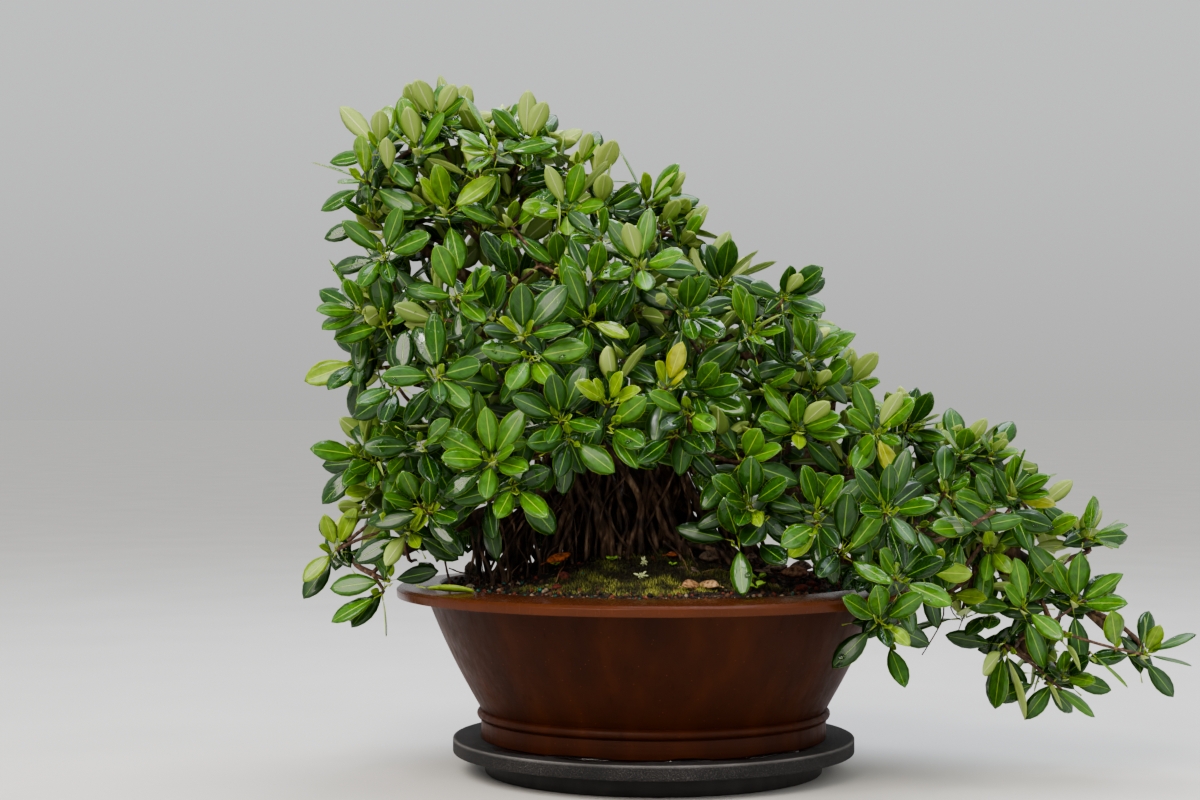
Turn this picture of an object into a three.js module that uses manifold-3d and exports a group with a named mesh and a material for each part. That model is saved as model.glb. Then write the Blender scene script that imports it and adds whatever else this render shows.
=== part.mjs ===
// A green island ficus grown as a bonsai, in a round brown pot that stands on a turntable.
// Millimetres, +Z up. The origin is on the turntable's axis, on the surface that its base stands on.
// +X points to the side where the long limb trails over the pot's rim, and -Y is the front.
import * as THREE from "three";
import { mergeVertices } from "three/addons/utils/BufferGeometryUtils.js";
import Module from "manifold-3d";

const wasm = await Module();
wasm.setup();

const GAP = 0.3; // between two pieces that touch

// Turntable: a board on a smaller base, with a thrust bearing and a centre pin between them.
const BASE = { radius: 126, height: 13, bevel: 1.5 };
const BOARD = { radius: 150, underside: 15.2, top: 26, bevel: 1 };
const PIN = { radius: 9.5, clearance: 0.5, reach: 6 };
const BEARING = { inner: 58, outer: 76, sides: 24 };
const TURNED_SIDES = 32;

// Pot: round, with a flat outward lip, a bead and a plain foot band.
const POT = {
  rim: 192,
  lipInner: 160,
  lipThick: 7.6,
  lipRise: 2.4,
  lipArris: 1.8,
  wallTop: 168,
  wallFlare: 2, // more radius right under the lip
  neck: { inwards: 6, below: 10 }, // a point of the wall, from its top
  belly: { outwards: 22, above: 53 }, // a point of the wall, from the bead
  wallFoot: 130,
  bead: 132,
  beadHeight: 7,
  beadRound: 1.5,
  footBand: 129,
  bandHeight: 14,
  bandArris: 1,
  footRingInner: 112,
  footRingSlope: 2,
  footRise: 3, // height of the underside's recess inside the foot ring
  floorRadius: 118,
  floorTop: 39,
  seat: BOARD.top + GAP,
  rimTop: 139,
};
const DRAIN = { radius: 9, ring: 62, count: 3, length: 30, sides: 12 };
const POT_SIDES = 32;

// Soil: a low mound that is highest under the trunk.
const SOIL = { edge: 158, edgeHeight: 139.5, rise: 34, inset: 0.6, sides: POT_SIDES, rings: 3 };
const SOIL_WAVE = { height: 1.6, alongX: 0.09, startX: 1, alongY: 0.11, startY: -0.5 };

// Leaves stand in rosettes round the shoot tips of each spray. Their length includes the stalk.
const LEAF = { length: 42, width: 22, keel: 1.8, sag: 0.13, apart: 5, sunk: 4 };
const KEEL_SPACE = 3; // the keel is sharp, so it takes this many times the space of a flat side
const LEAF_STATIONS = [
  { along: 0.4, half: 0.82 },
  { along: 0.76, half: 0.94 },
];
const ROSETTES_PER_HEAD = 3;
const LEAVES_PER_ROSETTE = [3, 3, 2];
const FEWER_LEAVES = [2, 2, 2]; // on a smaller head
const ROSETTE = { lean: 0.7, moreLean: 0.35, onCore: 0.85, upturn: 0.3 };
const LEAF_LEAN = { first: 0.75, each: 0.16, more: 0.25 };
const LEAF_SIZE = { smallest: 0.84, more: 0.3 };
const GOLDEN_ANGLE = Math.PI * (3 - Math.sqrt(5));
const TWIG = { radius: 2.6, sides: 3 };
const LEAF_SEED = 29;

const COLOURS = {
  leaf: { color: "#3f8a25", roughness: 0.35 },
  bark: { color: "#4b3a2c", roughness: 0.85 },
  pot: { color: "#5c2a18", roughness: 0.35 },
  soil: { color: "#2b2119", roughness: 0.95 },
  moss: { color: "#5f7427", roughness: 0.95 },
  board: { color: "#3b3a3b", roughness: 0.8 },
  base: { color: "#2a2522", roughness: 0.6 },
  bearing: { color: "#b0b2b4", roughness: 0.3, metalness: 1 },
  rustLeaf: { color: "#a4501c", roughness: 0.7 },
  freshLeaf: { color: "#a3c52e", roughness: 0.4 },
};

// A seeded stream of numbers from 0 to 1.
function randomStream(seed) {
  let state = seed >>> 0;
  return () => {
    state = (state + 0x6d2b79f5) >>> 0;
    let t = state;
    t = Math.imul(t ^ (t >>> 15), t | 1);
    t ^= t + Math.imul(t ^ (t >>> 7), t | 61);
    return ((t ^ (t >>> 14)) >>> 0) / 4294967296;
  };
}

// A closed three.js geometry as a solid, with shared vertices merged and empty triangles dropped.
function solid(geometry) {
  const bare = new THREE.BufferGeometry().setAttribute("position", geometry.getAttribute("position"));
  if (geometry.index) bare.setIndex(geometry.index);
  const merged = mergeVertices(bare, 1e-3);
  const corners = merged.index.array;
  const kept = [];
  for (let i = 0; i < corners.length; i += 3) {
    const [a, b, c] = [corners[i], corners[i + 1], corners[i + 2]];
    if (a !== b && b !== c && c !== a) kept.push(a, b, c);
  }
  return new wasm.Manifold(
    new wasm.Mesh({
      numProp: 3,
      vertProperties: merged.attributes.position.array,
      triVerts: new Uint32Array(kept),
    }),
  );
}

// A solid back as a named mesh.
function named(name, made, colour) {
  const mesh = made.getMesh();
  const positions = new Float32Array(mesh.numVert * 3);
  for (let i = 0; i < mesh.numVert; i += 1) {
    positions.set(mesh.vertProperties.subarray(i * mesh.numProp, i * mesh.numProp + 3), i * 3);
  }
  const geometry = new THREE.BufferGeometry()
    .setAttribute("position", new THREE.BufferAttribute(positions, 3))
    .setIndex(new THREE.BufferAttribute(mesh.triVerts, 1));
  geometry.computeVertexNormals();
  const shown = new THREE.Mesh(geometry, new THREE.MeshStandardMaterial(colour));
  shown.name = name;
  return shown;
}

function union(solids) {
  return solids.reduce((joined, next) => joined.add(next));
}

// The largest body of a solid, without the loose scraps that a cut leaves.
function largest(made) {
  return made.decompose().sort((a, b) => b.volume() - a.volume())[0];
}

// A profile of [radius, height] points turned about Z.
function turned(profile, sides) {
  const points = profile.map(([radius, height]) => new THREE.Vector2(radius, height));
  return new THREE.LatheGeometry(points, sides).rotateX(Math.PI / 2);
}

// A round limb of changing thickness: a cylinder whose rings are set square to a smooth curve.
function limb(points, startRadius, endRadius, sides, steps) {
  const curve = new THREE.CatmullRomCurve3(points.map((p) => new THREE.Vector3(...p)));
  const frames = curve.computeFrenetFrames(steps, false);
  const tube = new THREE.CylinderGeometry(1, 1, 1, sides, steps);
  const position = tube.getAttribute("position");
  for (let i = 0; i < position.count; i += 1) {
    const along = position.getY(i) + 0.5;
    const ring = Math.round(along * steps);
    const radius = THREE.MathUtils.lerp(startRadius, endRadius, along);
    const placed = curve
      .getPointAt(along)
      .addScaledVector(frames.binormals[ring], position.getX(i) * radius)
      .addScaledVector(frames.normals[ring], position.getZ(i) * radius);
    position.setXYZ(i, placed.x, placed.y, placed.z);
  }
  return tube;
}

// Height of the soil's surface: a mound with a slightly uneven top.
function soilHeight(x, y) {
  const share = Math.min(1, Math.hypot(x, y) / SOIL.edge);
  const mound = SOIL.rise * Math.cos((Math.PI / 2) * share) ** 2;
  const { height, alongX, startX, alongY, startY } = SOIL_WAVE;
  const uneven = height * Math.sin(x * alongX + startX) * Math.cos(y * alongY + startY) * (1 - share);
  return SOIL.edgeHeight + mound + uneven;
}

// Turntable
function turntableBase() {
  const { radius, height, bevel } = BASE;
  const pinTop = BOARD.underside + PIN.reach - PIN.clearance;
  const profile = [
    [0, 0],
    [radius - bevel, 0],
    [radius, bevel],
    [radius, height - bevel],
    [radius - bevel, height],
    [PIN.radius, height],
    [PIN.radius, pinTop],
    [0, pinTop],
  ];
  return named("turntable_base", solid(turned(profile, TURNED_SIDES)), COLOURS.base);
}

function thrustBearing() {
  const low = BASE.height + GAP;
  const high = BOARD.underside - GAP;
  const profile = [
    [BEARING.inner, low],
    [BEARING.outer, low],
    [BEARING.outer, high],
    [BEARING.inner, high],
    [BEARING.inner, low],
  ];
  return named("thrust_bearing", solid(turned(profile, BEARING.sides)), COLOURS.bearing);
}

function turntableBoard() {
  const { radius, underside, top, bevel } = BOARD;
  const bore = PIN.radius + PIN.clearance;
  const profile = [
    [0, underside + PIN.reach],
    [bore, underside + PIN.reach],
    [bore, underside],
    [radius - bevel, underside],
    [radius, underside + bevel],
    [radius, top - bevel],
    [radius - bevel, top],
    [0, top],
  ];
  return named("turntable_board", solid(turned(profile, TURNED_SIDES)), COLOURS.board);
}

// Pot
function potSolid() {
  const { rim, lipInner, lipThick, lipRise, lipArris, wallTop, wallFoot, rimTop, seat } = POT;
  const beadLow = seat + POT.bandHeight;
  const beadHigh = beadLow + POT.beadHeight;
  const underLip = rimTop - lipThick;
  const profile = [
    [0, seat + POT.footRise],
    [POT.footRingInner, seat + POT.footRise],
    [POT.footRingInner + POT.footRingSlope, seat],
    [POT.footBand, seat],
    [POT.footBand, beadLow - POT.bandArris],
    [POT.bead, beadLow + POT.beadRound],
    [POT.bead, beadHigh - POT.beadRound],
    [wallFoot, beadHigh],
    [wallFoot + POT.belly.outwards, beadHigh + POT.belly.above],
    [wallTop - POT.neck.inwards, underLip - POT.neck.below],
    [wallTop + POT.wallFlare, underLip],
    [rim, underLip],
    [rim, rimTop - lipArris],
    [rim - lipArris, rimTop],
    [lipInner, rimTop + lipRise],
    [POT.floorRadius, POT.floorTop],
    [0, POT.floorTop],
  ];
  const holes = Array.from({ length: DRAIN.count }, (_, i) => {
    const angle = (i * 2 * Math.PI) / DRAIN.count + Math.PI / 2;
    const hole = new THREE.CylinderGeometry(DRAIN.radius, DRAIN.radius, DRAIN.length, DRAIN.sides);
    hole.rotateX(Math.PI / 2);
    hole.translate(DRAIN.ring * Math.cos(angle), DRAIN.ring * Math.sin(angle), POT.floorTop);
    return solid(hole);
  });
  return solid(turned(profile, POT_SIDES)).subtract(union(holes));
}

// Soil: fills the pot and rises in a mound. Its rings are turned, and then each point is set to the mound.
function soilSolid() {
  const topRings = Array.from({ length: SOIL.rings + 1 }, (_, i) => [
    SOIL.edge * (1 - i / SOIL.rings),
    SOIL.edgeHeight,
  ]);
  const floor = POT.floorTop + GAP;
  const profile = [[0, floor], [POT.floorRadius - SOIL.inset, floor], ...topRings];
  const shape = turned(profile, SOIL.sides);
  const position = shape.getAttribute("position");
  for (let i = 0; i < position.count; i += 1) {
    const [x, y, z] = [position.getX(i), position.getY(i), position.getZ(i)];
    if (z > SOIL.edgeHeight - GAP) position.setZ(i, soilHeight(x, y));
  }
  return solid(shape);
}

// The tree's woody frame: the trunk leans left and up, and one long limb trails to the right.
const LIMBS = [
  { points: [[-5, 10, 160], [-24, 6, 215], [-62, 0, 275], [-98, 3, 335], [-112, 0, 388]], radii: [24, 9] },
  { points: [[-112, 0, 382], [-138, -3, 410], [-160, -2, 432]], radii: [8, 4.5] },
  { points: [[-112, 0, 378], [-104, 4, 408], [-97, 5, 426]], radii: [7, 4.5] },
  { points: [[-104, 2, 350], [-145, -4, 372], [-174, -6, 392]], radii: [7, 4] },
  { points: [[-92, 2, 322], [-136, 6, 330], [-170, 4, 341]], radii: [7, 4] },
  { points: [[-72, 0, 290], [-125, -3, 286], [-179, -5, 291]], radii: [8, 4] },
  { points: [[-40, 5, 245], [-100, 2, 240], [-150, 0, 234], [-172, 0, 229]], radii: [8, 4] },
  { points: [[-30, 0, 225], [-95, -10, 205], [-150, -13, 182], [-188, -8, 164]], radii: [8, 4] },
  { points: [[-100, 3, 345], [-66, 2, 372], [-42, 0, 390]], radii: [7, 4] },
  { points: [[-70, 0, 290], [-22, 0, 328], [25, 0, 345], [60, 0, 318], [92, 0, 300]], radii: [9, 4.5] },
  {
    points: [
      [-24, 6, 215], [40, 5, 238], [110, 2, 232], [168, 0, 220],
      [222, 0, 192], [272, 0, 160], [316, -6, 128], [340, -8, 106],
    ],
    radii: [13, 4],
  },
  { points: [[70, 4, 238], [110, 0, 254], [142, 0, 260]], radii: [7, 4] },
  { points: [[226, 0, 190], [258, -2, 158], [270, -4, 126], [278, -5, 88]], radii: [5.5, 3] },
  { points: [[-66, 0, 280], [-98, -40, 304], [-122, -62, 318]], radii: [7, 4] },
  { points: [[-56, 0, 265], [-72, -50, 288], [-78, -74, 300]], radii: [7, 4] },
  { points: [[-46, 2, 250], [-42, -55, 266], [-36, -86, 272]], radii: [7, 4] },
  { points: [[0, 5, 226], [22, -40, 255], [28, -66, 272]], radii: [7, 4] },
  { points: [[70, 5, 238], [92, -45, 226], [100, -80, 206], [106, -92, 186]], radii: [7, 4] },
  { points: [[-66, 0, 280], [-105, 42, 298], [-138, 64, 306]], radii: [7, 4] },
  { points: [[-56, 2, 265], [-74, 55, 290], [-82, 80, 302]], radii: [7, 4] },
  { points: [[0, 5, 226], [4, 55, 250], [2, 86, 258]], radii: [7, 4] },
  { points: [[70, 5, 238], [86, 45, 228], [86, 82, 214]], radii: [7, 4] },
];
const TRUNK_SIDES = 8;
const LIMB_SIDES = 5;
const LIMB_STEP = 42; // length of one straight stretch of a limb

function limbSteps(points) {
  const curve = new THREE.CatmullRomCurve3(points.map((p) => new THREE.Vector3(...p)));
  return Math.max(2, Math.round(curve.getLength() / LIMB_STEP));
}

// Points spread along every limb, where twigs and aerial roots can start.
const NODES_PER_LIMB = 14;
const limbNodes = LIMBS.flatMap(({ points }) => {
  const curve = new THREE.CatmullRomCurve3(points.map((p) => new THREE.Vector3(...p)));
  return curve.getSpacedPoints(NODES_PER_LIMB).slice(1);
});

function nodesNear(point) {
  return limbNodes.toSorted((a, b) => a.distanceTo(point) - b.distanceTo(point));
}

// Aerial roots hang from the trunk and the low limbs, and stand in the soil all round the trunk.
const ROOTS = {
  count: 23,
  centreX: -18,
  spreadX: 104,
  spreadY: 58,
  depth: 7,
  topHeight: 246,
  lowestTop: 200,
  highestTop: 285,
  gatherX: 0.62, // how far apart the tops are, as a share of the feet
  gatherY: 0.5,
  topShiftX: -14,
  knee: 0.4, // where a root bends, as a share of its height
  sway: 7,
  thinnest: 3,
  thickest: 5.6,
  taper: 0.8,
  seed: 11,
  sides: 5,
  steps: 3,
};

function aerialRoots() {
  const random = randomStream(ROOTS.seed);
  const suits = (node) => node.z > ROOTS.lowestTop && node.z < ROOTS.highestTop;
  return Array.from({ length: ROOTS.count }, (_, i) => {
    const angle = i * GOLDEN_ANGLE;
    const out = Math.sqrt((i + 0.5) / ROOTS.count);
    const x = ROOTS.centreX + ROOTS.spreadX * out * Math.cos(angle);
    const y = ROOTS.spreadY * out * Math.sin(angle);
    const foot = new THREE.Vector3(x, y, soilHeight(x, y) - ROOTS.depth);
    const aimX = ROOTS.gatherX * x + ROOTS.topShiftX;
    const top = nodesNear(new THREE.Vector3(aimX, ROOTS.gatherY * y, ROOTS.topHeight)).find(suits);
    const sway = new THREE.Vector3(2 * random() - 1, 2 * random() - 1, 0).multiplyScalar(ROOTS.sway);
    const knee = foot.clone().lerp(top, ROOTS.knee).add(sway);
    const radius = THREE.MathUtils.lerp(ROOTS.thinnest, ROOTS.thickest, random());
    return {
      points: [foot.toArray(), knee.toArray(), top.toArray()],
      radii: [radius, radius * ROOTS.taper],
      sides: ROOTS.sides,
      steps: ROOTS.steps,
    };
  });
}

// Sprays: one leafy head each, or two along one twig. A head is the middle of its core of short
// twigs, and a fourth value is the radius of a core that is smaller than most.
const CORE = 16;
const SMALL_LEAVES = 0.82; // size of the leaves on a smaller core
const SPRAYS = {
  apex: [
    [[-160, -4, 472], [-198, -18, 450]],
    [[-97, 4, 462], [-132, 46, 420]],
    [[-130, -38, 430]],
    [[-190, 8, 404]],
  ],
  left: [
    [[-190, -40, 352]], [[-192, 36, 346]], [[-192, 0, 302]], [[-190, -44, 238]], [[-196, 38, 226]],
    [[-208, -30, 149, 10], [-230, -6, 170, 9]],
  ],
  ridge: [[[-46, -16, 430]], [[6, 20, 402]], [[48, -18, 358]], [[94, 18, 320]], [[134, -14, 276]]],
  cascade: [
    [[190, 16, 244]], [[240, -14, 218]], [[286, 10, 190]], [[326, -6, 164, 13]],
    [[286, -24, 130, 12]],
    [[326, -10, 120, 10], [364, -12, 94, 8]],
    [[270, -6, 92, 10], [310, -8, 66, 8]],
    [[238, -14, 146, 14]], [[176, -52, 114, 10]], [[212, 52, 172]],
  ],
  front: [
    [[-84, -64, 374]], [[-142, -84, 332]], [[-24, -80, 340]], [[-84, -108, 306]], [[36, -88, 304]],
    [[-148, -100, 264]], [[-26, -114, 270]], [[96, -76, 268]], [[-92, -116, 236]], [[34, -112, 240]],
    [[142, -74, 222]], [[-146, -90, 192]], [[92, -110, 200]], [[192, -60, 180]], [[138, -104, 162]],
    [[-184, -56, 182]],
  ],
  back: [
    [[-84, 68, 366]], [[-140, 88, 318]], [[-26, 84, 330]], [[36, 90, 296]], [[-86, 114, 288]],
    [[-150, 98, 250]], [[-24, 118, 252]], [[92, 84, 262]], [[146, 76, 214]], [[88, 110, 204]],
  ],
};

// The line that the canopy spreads from. A spray faces away from it and up.
const SPINE = [
  [-125, 0, 400], [-95, 0, 310], [-40, 0, 240], [80, 0, 215], [190, 0, 165], [300, 0, 95],
].map((p) => new THREE.Vector3(...p));
const UPWARD = 16;

function facing(centre) {
  const closest = new THREE.Vector3();
  let best = SPINE[0];
  SPINE.slice(1).forEach((end, i) => {
    new THREE.Line3(SPINE[i], end).closestPointToPoint(centre, true, closest);
    if (closest.distanceTo(centre) < best.distanceTo(centre)) best = closest.clone();
  });
  return centre.clone().sub(best).add(new THREE.Vector3(0, 0, UPWARD)).normalize();
}

// A direction that leans from an axis by one angle and stands round it by another.
const SQUARE_TO = new THREE.Vector3(0.31, 0.22, 0.93); // parallel to no head's axis

function leaning(axis, lean, round) {
  const side = SQUARE_TO.clone().cross(axis).normalize();
  const other = axis.clone().cross(side);
  return axis
    .clone()
    .multiplyScalar(Math.cos(lean))
    .addScaledVector(side, Math.sin(lean) * Math.cos(round))
    .addScaledVector(other, Math.sin(lean) * Math.sin(round));
}

// One leaf: flat above, with its midrib as a keel below, arching from its stalk to its tip.
// A swell above 0 makes the space that it needs round it.
function leafSolid({ root, along, up, length, width }, swell = 0) {
  const across = along.clone().cross(up);
  const spot = (share, sideways, down) =>
    root
      .clone()
      .addScaledVector(along, share * (length + swell))
      .addScaledVector(up, swell - LEAF.sag * share * share * length - down)
      .addScaledVector(across, sideways);
  const spots = [spot(0, 0, 0)];
  LEAF_STATIONS.forEach(({ along: share, half }) => {
    const reach = (half * width) / 2 + swell;
    const keel = LEAF.keel + KEEL_SPACE * swell;
    spots.push(spot(share, -reach, 0), spot(share, reach, 0), spot(share, 0, keel));
  });
  spots.push(spot(1, 0, 0));
  const tip = spots.length - 1;
  const corners = [0, 2, 1, 0, 3, 2, 0, 1, 3];
  for (let a = 1; a + 3 < tip; a += 3) {
    const [b, keel, nextA, nextB, nextKeel] = [a + 1, a + 2, a + 3, a + 4, a + 5];
    corners.push(a, b, nextB, a, nextB, nextA);
    corners.push(keel, nextB, b, keel, nextKeel, nextB);
    corners.push(keel, a, nextA, keel, nextA, nextKeel);
  }
  const [a, b, keel] = [tip - 3, tip - 2, tip - 1];
  corners.push(a, b, tip, keel, tip, b, keel, a, tip);
  const shape = new THREE.BufferGeometry().setFromPoints(spots).setIndex(corners);
  return solid(shape);
}

// A leaf of a rosette: its stalk stands a little out from the rosette's axis, sunk into the core.
function leafOf(rosette, lean, round, size) {
  const along = leaning(rosette.axis, lean, round);
  const up = rosette.axis.clone().addScaledVector(along, -rosette.axis.dot(along)).normalize();
  const outward = along.clone().addScaledVector(rosette.axis, -rosette.axis.dot(along)).normalize();
  const root = rosette.centre
    .clone()
    .addScaledVector(outward, LEAF.apart)
    .addScaledVector(rosette.axis, -LEAF.sunk);
  return { root, along, up, length: LEAF.length * size, width: LEAF.width * size };
}

// Ways to bend a leaf clear of what stands in its path: a change of lean in radians, and of size.
const BENDS = [
  [0, 1], [-0.3, 1], [0.3, 1], [-0.6, 0.95], [0.5, 0.9], [0, 0.8], [-0.4, 0.75],
];

function boxed(shape) {
  return { shape, box: shape.boundingBox() };
}

function boxesMeet(one, other) {
  return [0, 1, 2].every((i) => one.min[i] <= other.max[i] && other.min[i] <= one.max[i]);
}

function crosses(made, others) {
  const box = made.boundingBox();
  return others.some(({ shape, box: theirs }) => {
    return boxesMeet(box, theirs) && made.intersect(shape).volume() > 0;
  });
}

// The first bend of a leaf that leaves a gap all round it, or null where none does.
function clearLeaf(rosette, lean, round, size, others) {
  for (const [bend, shrink] of BENDS) {
    const leaf = leafOf(rosette, lean + bend, round, size * shrink);
    if (!crosses(leafSolid(leaf, GAP), others)) return leafSolid(leaf);
  }
  return null;
}

// Tree
const sprays = Object.entries(SPRAYS).flatMap(([region, places]) =>
  places.map((place, i) => {
    const heads = place.map(([x, y, z, core = CORE]) => {
      const centre = new THREE.Vector3(x, y, z);
      const small = core < CORE;
      return { centre, core, small, leafScale: small ? SMALL_LEAVES : 1, face: facing(centre) };
    });
    return { name: `spray_${region}_${i + 1}`, heads };
  }),
);

// The cores of a spray, with a twig that starts in the middle of a limb and runs to each head in turn.
function spraySolid({ heads }, start, swell = 0) {
  const stops = [start, ...heads.map(({ centre }) => centre)];
  const radius = TWIG.radius + swell;
  const twigs = stops.slice(1).map((to, i) => {
    return solid(limb([stops[i].toArray(), to.toArray()], radius, radius, TWIG.sides, 1));
  });
  const cores = heads.map(({ centre, core }) => {
    return solid(new THREE.IcosahedronGeometry(core + swell, 0).translate(...centre));
  });
  return union([...cores, ...twigs]);
}

// Every spray without its leaves, on the nearest stretch of limb that leaves it clear of the others.
function placeSprays(woodSpace) {
  const placed = [];
  sprays.forEach((spray) => {
    const start = nodesNear(spray.heads[0].centre).find((node) => {
      return !crosses(largest(spraySolid(spray, node, 2 * GAP).subtract(woodSpace)), placed);
    });
    placed.push(boxed(largest(spraySolid(spray, start).subtract(woodSpace))));
  });
  return placed;
}

function woodTubes() {
  const limbs = LIMBS.map(({ points, radii }, i) => ({
    points,
    radii,
    sides: i === 0 ? TRUNK_SIDES : LIMB_SIDES,
    steps: limbSteps(points),
  }));
  return [...limbs, ...aerialRoots()];
}

// The wood as one solid. A swell above 0 makes the space that it needs round it.
function woodSolid(tubes, swell = 0) {
  return union(
    tubes.map(({ points, radii: [start, end], sides, steps }) => {
      const more = swell / Math.cos(Math.PI / sides);
      return solid(limb(points, start + more, end + more, sides, steps));
    }),
  );
}

// The leaves of each spray, one after another, each bent clear of everything that stands already.
function growLeaves(woodSpace, ground) {
  const placed = placeSprays(woodSpace);
  const standing = [boxed(woodSpace), ...ground.map(boxed), ...placed];
  const random = randomStream(LEAF_SEED);
  return sprays.map((spray, index) => {
    const own = placed[index];
    const others = standing.filter((thing) => thing !== own);
    const leaves = [];
    spray.heads.forEach((head) => {
      const turn = 2 * Math.PI * random();
      const leafCounts = head.small ? FEWER_LEAVES : LEAVES_PER_ROSETTE;
      for (let r = 0; r < ROSETTES_PER_HEAD; r += 1) {
        const round = turn + (r * 2 * Math.PI) / ROSETTES_PER_HEAD;
        const axis = leaning(head.face, ROSETTE.lean + ROSETTE.moreLean * random(), round);
        const centre = head.centre.clone().addScaledVector(axis, head.core * ROSETTE.onCore);
        axis.z += ROSETTE.upturn;
        axis.normalize();
        const start = 2 * Math.PI * random();
        for (let i = 0; i < leafCounts[r]; i += 1) {
          const lean = LEAF_LEAN.first + LEAF_LEAN.each * i + LEAF_LEAN.more * random();
          const size = (LEAF_SIZE.smallest + LEAF_SIZE.more * random()) * head.leafScale;
          const turnedTo = start + i * GOLDEN_ANGLE;
          const leaf = clearLeaf({ centre, axis }, lean, turnedTo, size, [...others, ...leaves]);
          if (leaf) leaves.push(boxed(leaf));
        }
      }
    });
    own.shape = largest(union([own.shape, ...leaves.map(({ shape }) => shape)]));
    own.box = own.shape.boundingBox();
    return named(spray.name, own.shape, COLOURS.leaf);
  });
}

// Moss: a low cushion in front of the roots, lying on the soil.
const MOSS = { x: -4, y: -94, halfWidth: 78, halfDepth: 36, thick: 3.3, sides: 18, reach: 100 };
const MOSS_LOBES = [
  { count: 3, height: 0.1, start: 1 },
  { count: 7, height: 0.06, start: 0 },
];

function mossSolid(soil, woodSpace) {
  const outline = new THREE.Shape(
    Array.from({ length: MOSS.sides }, (_, i) => {
      const angle = (i * 2 * Math.PI) / MOSS.sides;
      const wave = MOSS_LOBES.reduce((sum, lobe) => {
        return sum + lobe.height * Math.sin(lobe.count * angle + lobe.start);
      }, 1);
      const reach = new THREE.Vector2(MOSS.halfWidth * Math.cos(angle), MOSS.halfDepth * Math.sin(angle));
      return reach.multiplyScalar(wave).add(new THREE.Vector2(MOSS.x, MOSS.y));
    }),
  );
  const column = new THREE.ExtrudeGeometry(outline, { depth: MOSS.reach, bevelEnabled: false });
  const block = solid(column.translate(0, 0, SOIL.edgeHeight - MOSS.reach / 2));
  const cap = soil.translate([0, 0, MOSS.thick]).intersect(block);
  return largest(cap.subtract(soil.translate([0, 0, GAP])).subtract(woodSpace));
}

// A leaf that fell on the soil or the lip, trimmed where it rests.
const FALLEN_TILT = 0.04;

function fallen(name, ground, { x, y, z, turn, length, width }, colour) {
  const along = new THREE.Vector3(Math.cos(turn), Math.sin(turn), FALLEN_TILT).normalize();
  const up = new THREE.Vector3(0, 0, 1).addScaledVector(along, -along.z).normalize();
  const root = new THREE.Vector3(x, y, z).addScaledVector(along, -length / 2);
  return named(name, largest(leafSolid({ root, along, up, length, width }).subtract(ground)), colour);
}

const FALLEN = [
  {
    name: "fallen_leaf_on_lip",
    place: { x: -151, y: -86, z: 144.2, turn: -0.28, length: 44, width: 11 },
    colour: COLOURS.freshLeaf,
  },
  {
    name: "fallen_leaf_on_soil",
    place: { x: -66, y: -70, z: 156.5, turn: 0.5, length: 30, width: 14 },
    colour: COLOURS.rustLeaf,
  },
];

const tubes = woodTubes();
const wood = woodSolid(tubes);
const woodSpace = woodSolid(tubes, GAP);
const pot = potSolid();
const soil = soilSolid().subtract(woodSpace);
const moss = mossSolid(soil, woodSpace);
const filledPot = union([pot, soil, moss]);
const ground = union([filledPot, filledPot.translate([0, 0, GAP]), woodSpace]);

const turntable = new THREE.Group();
turntable.add(turntableBase(), thrustBearing(), turntableBoard());

const planting = new THREE.Group();
planting.add(
  named("pot", pot, COLOURS.pot),
  named("soil", soil, COLOURS.soil),
  named("moss", moss, COLOURS.moss),
  ...FALLEN.map(({ name, place, colour }) => fallen(name, ground, place, colour)),
);

const tree = new THREE.Group();
tree.add(named("trunk_and_roots", wood, COLOURS.bark), ...growLeaves(woodSpace, [ground]));

const bonsai = new THREE.Group();
bonsai.add(turntable, planting, tree);
export default bonsai;
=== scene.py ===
# A green island ficus grown as a bonsai, in a round brown pot that stands on a turntable.
# Metres, +Z up. The origin is on the turntable's axis, on the surface that its base stands on.
# +X points to the side where the long limb trails over the pot's rim, and -Y is the front.
import math

import bmesh
import bpy
from mathutils import Euler, Matrix, Vector, noise


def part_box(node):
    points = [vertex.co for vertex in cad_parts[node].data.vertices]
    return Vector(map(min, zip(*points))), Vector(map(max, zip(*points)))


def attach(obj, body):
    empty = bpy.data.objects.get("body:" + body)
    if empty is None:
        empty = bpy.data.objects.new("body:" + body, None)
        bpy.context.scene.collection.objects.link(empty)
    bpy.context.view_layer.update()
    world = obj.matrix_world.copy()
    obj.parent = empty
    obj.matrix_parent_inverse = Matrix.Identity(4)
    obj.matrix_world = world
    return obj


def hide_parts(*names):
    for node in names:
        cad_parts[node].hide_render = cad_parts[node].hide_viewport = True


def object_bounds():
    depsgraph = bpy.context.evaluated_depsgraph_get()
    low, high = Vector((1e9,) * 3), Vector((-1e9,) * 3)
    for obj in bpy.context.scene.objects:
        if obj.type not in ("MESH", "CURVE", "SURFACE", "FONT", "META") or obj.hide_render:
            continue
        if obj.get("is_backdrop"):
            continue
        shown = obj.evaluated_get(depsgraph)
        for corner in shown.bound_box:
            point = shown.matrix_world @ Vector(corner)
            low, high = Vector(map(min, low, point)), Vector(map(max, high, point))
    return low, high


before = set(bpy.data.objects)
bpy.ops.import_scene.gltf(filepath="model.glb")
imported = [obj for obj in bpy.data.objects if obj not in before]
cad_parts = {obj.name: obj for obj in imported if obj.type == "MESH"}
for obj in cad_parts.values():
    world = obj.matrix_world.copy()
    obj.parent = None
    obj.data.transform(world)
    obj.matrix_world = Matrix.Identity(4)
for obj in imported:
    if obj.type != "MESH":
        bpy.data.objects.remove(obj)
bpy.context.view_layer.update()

# Camera
# The photograph was taken level with the middle of the tree, from straight in front, with a long lens.
# The camera comes first, because what lies on the soil is placed by where the photograph shows it.
CAMERA_PLACE = Vector((-0.040, -1.750, 0.277))
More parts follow.
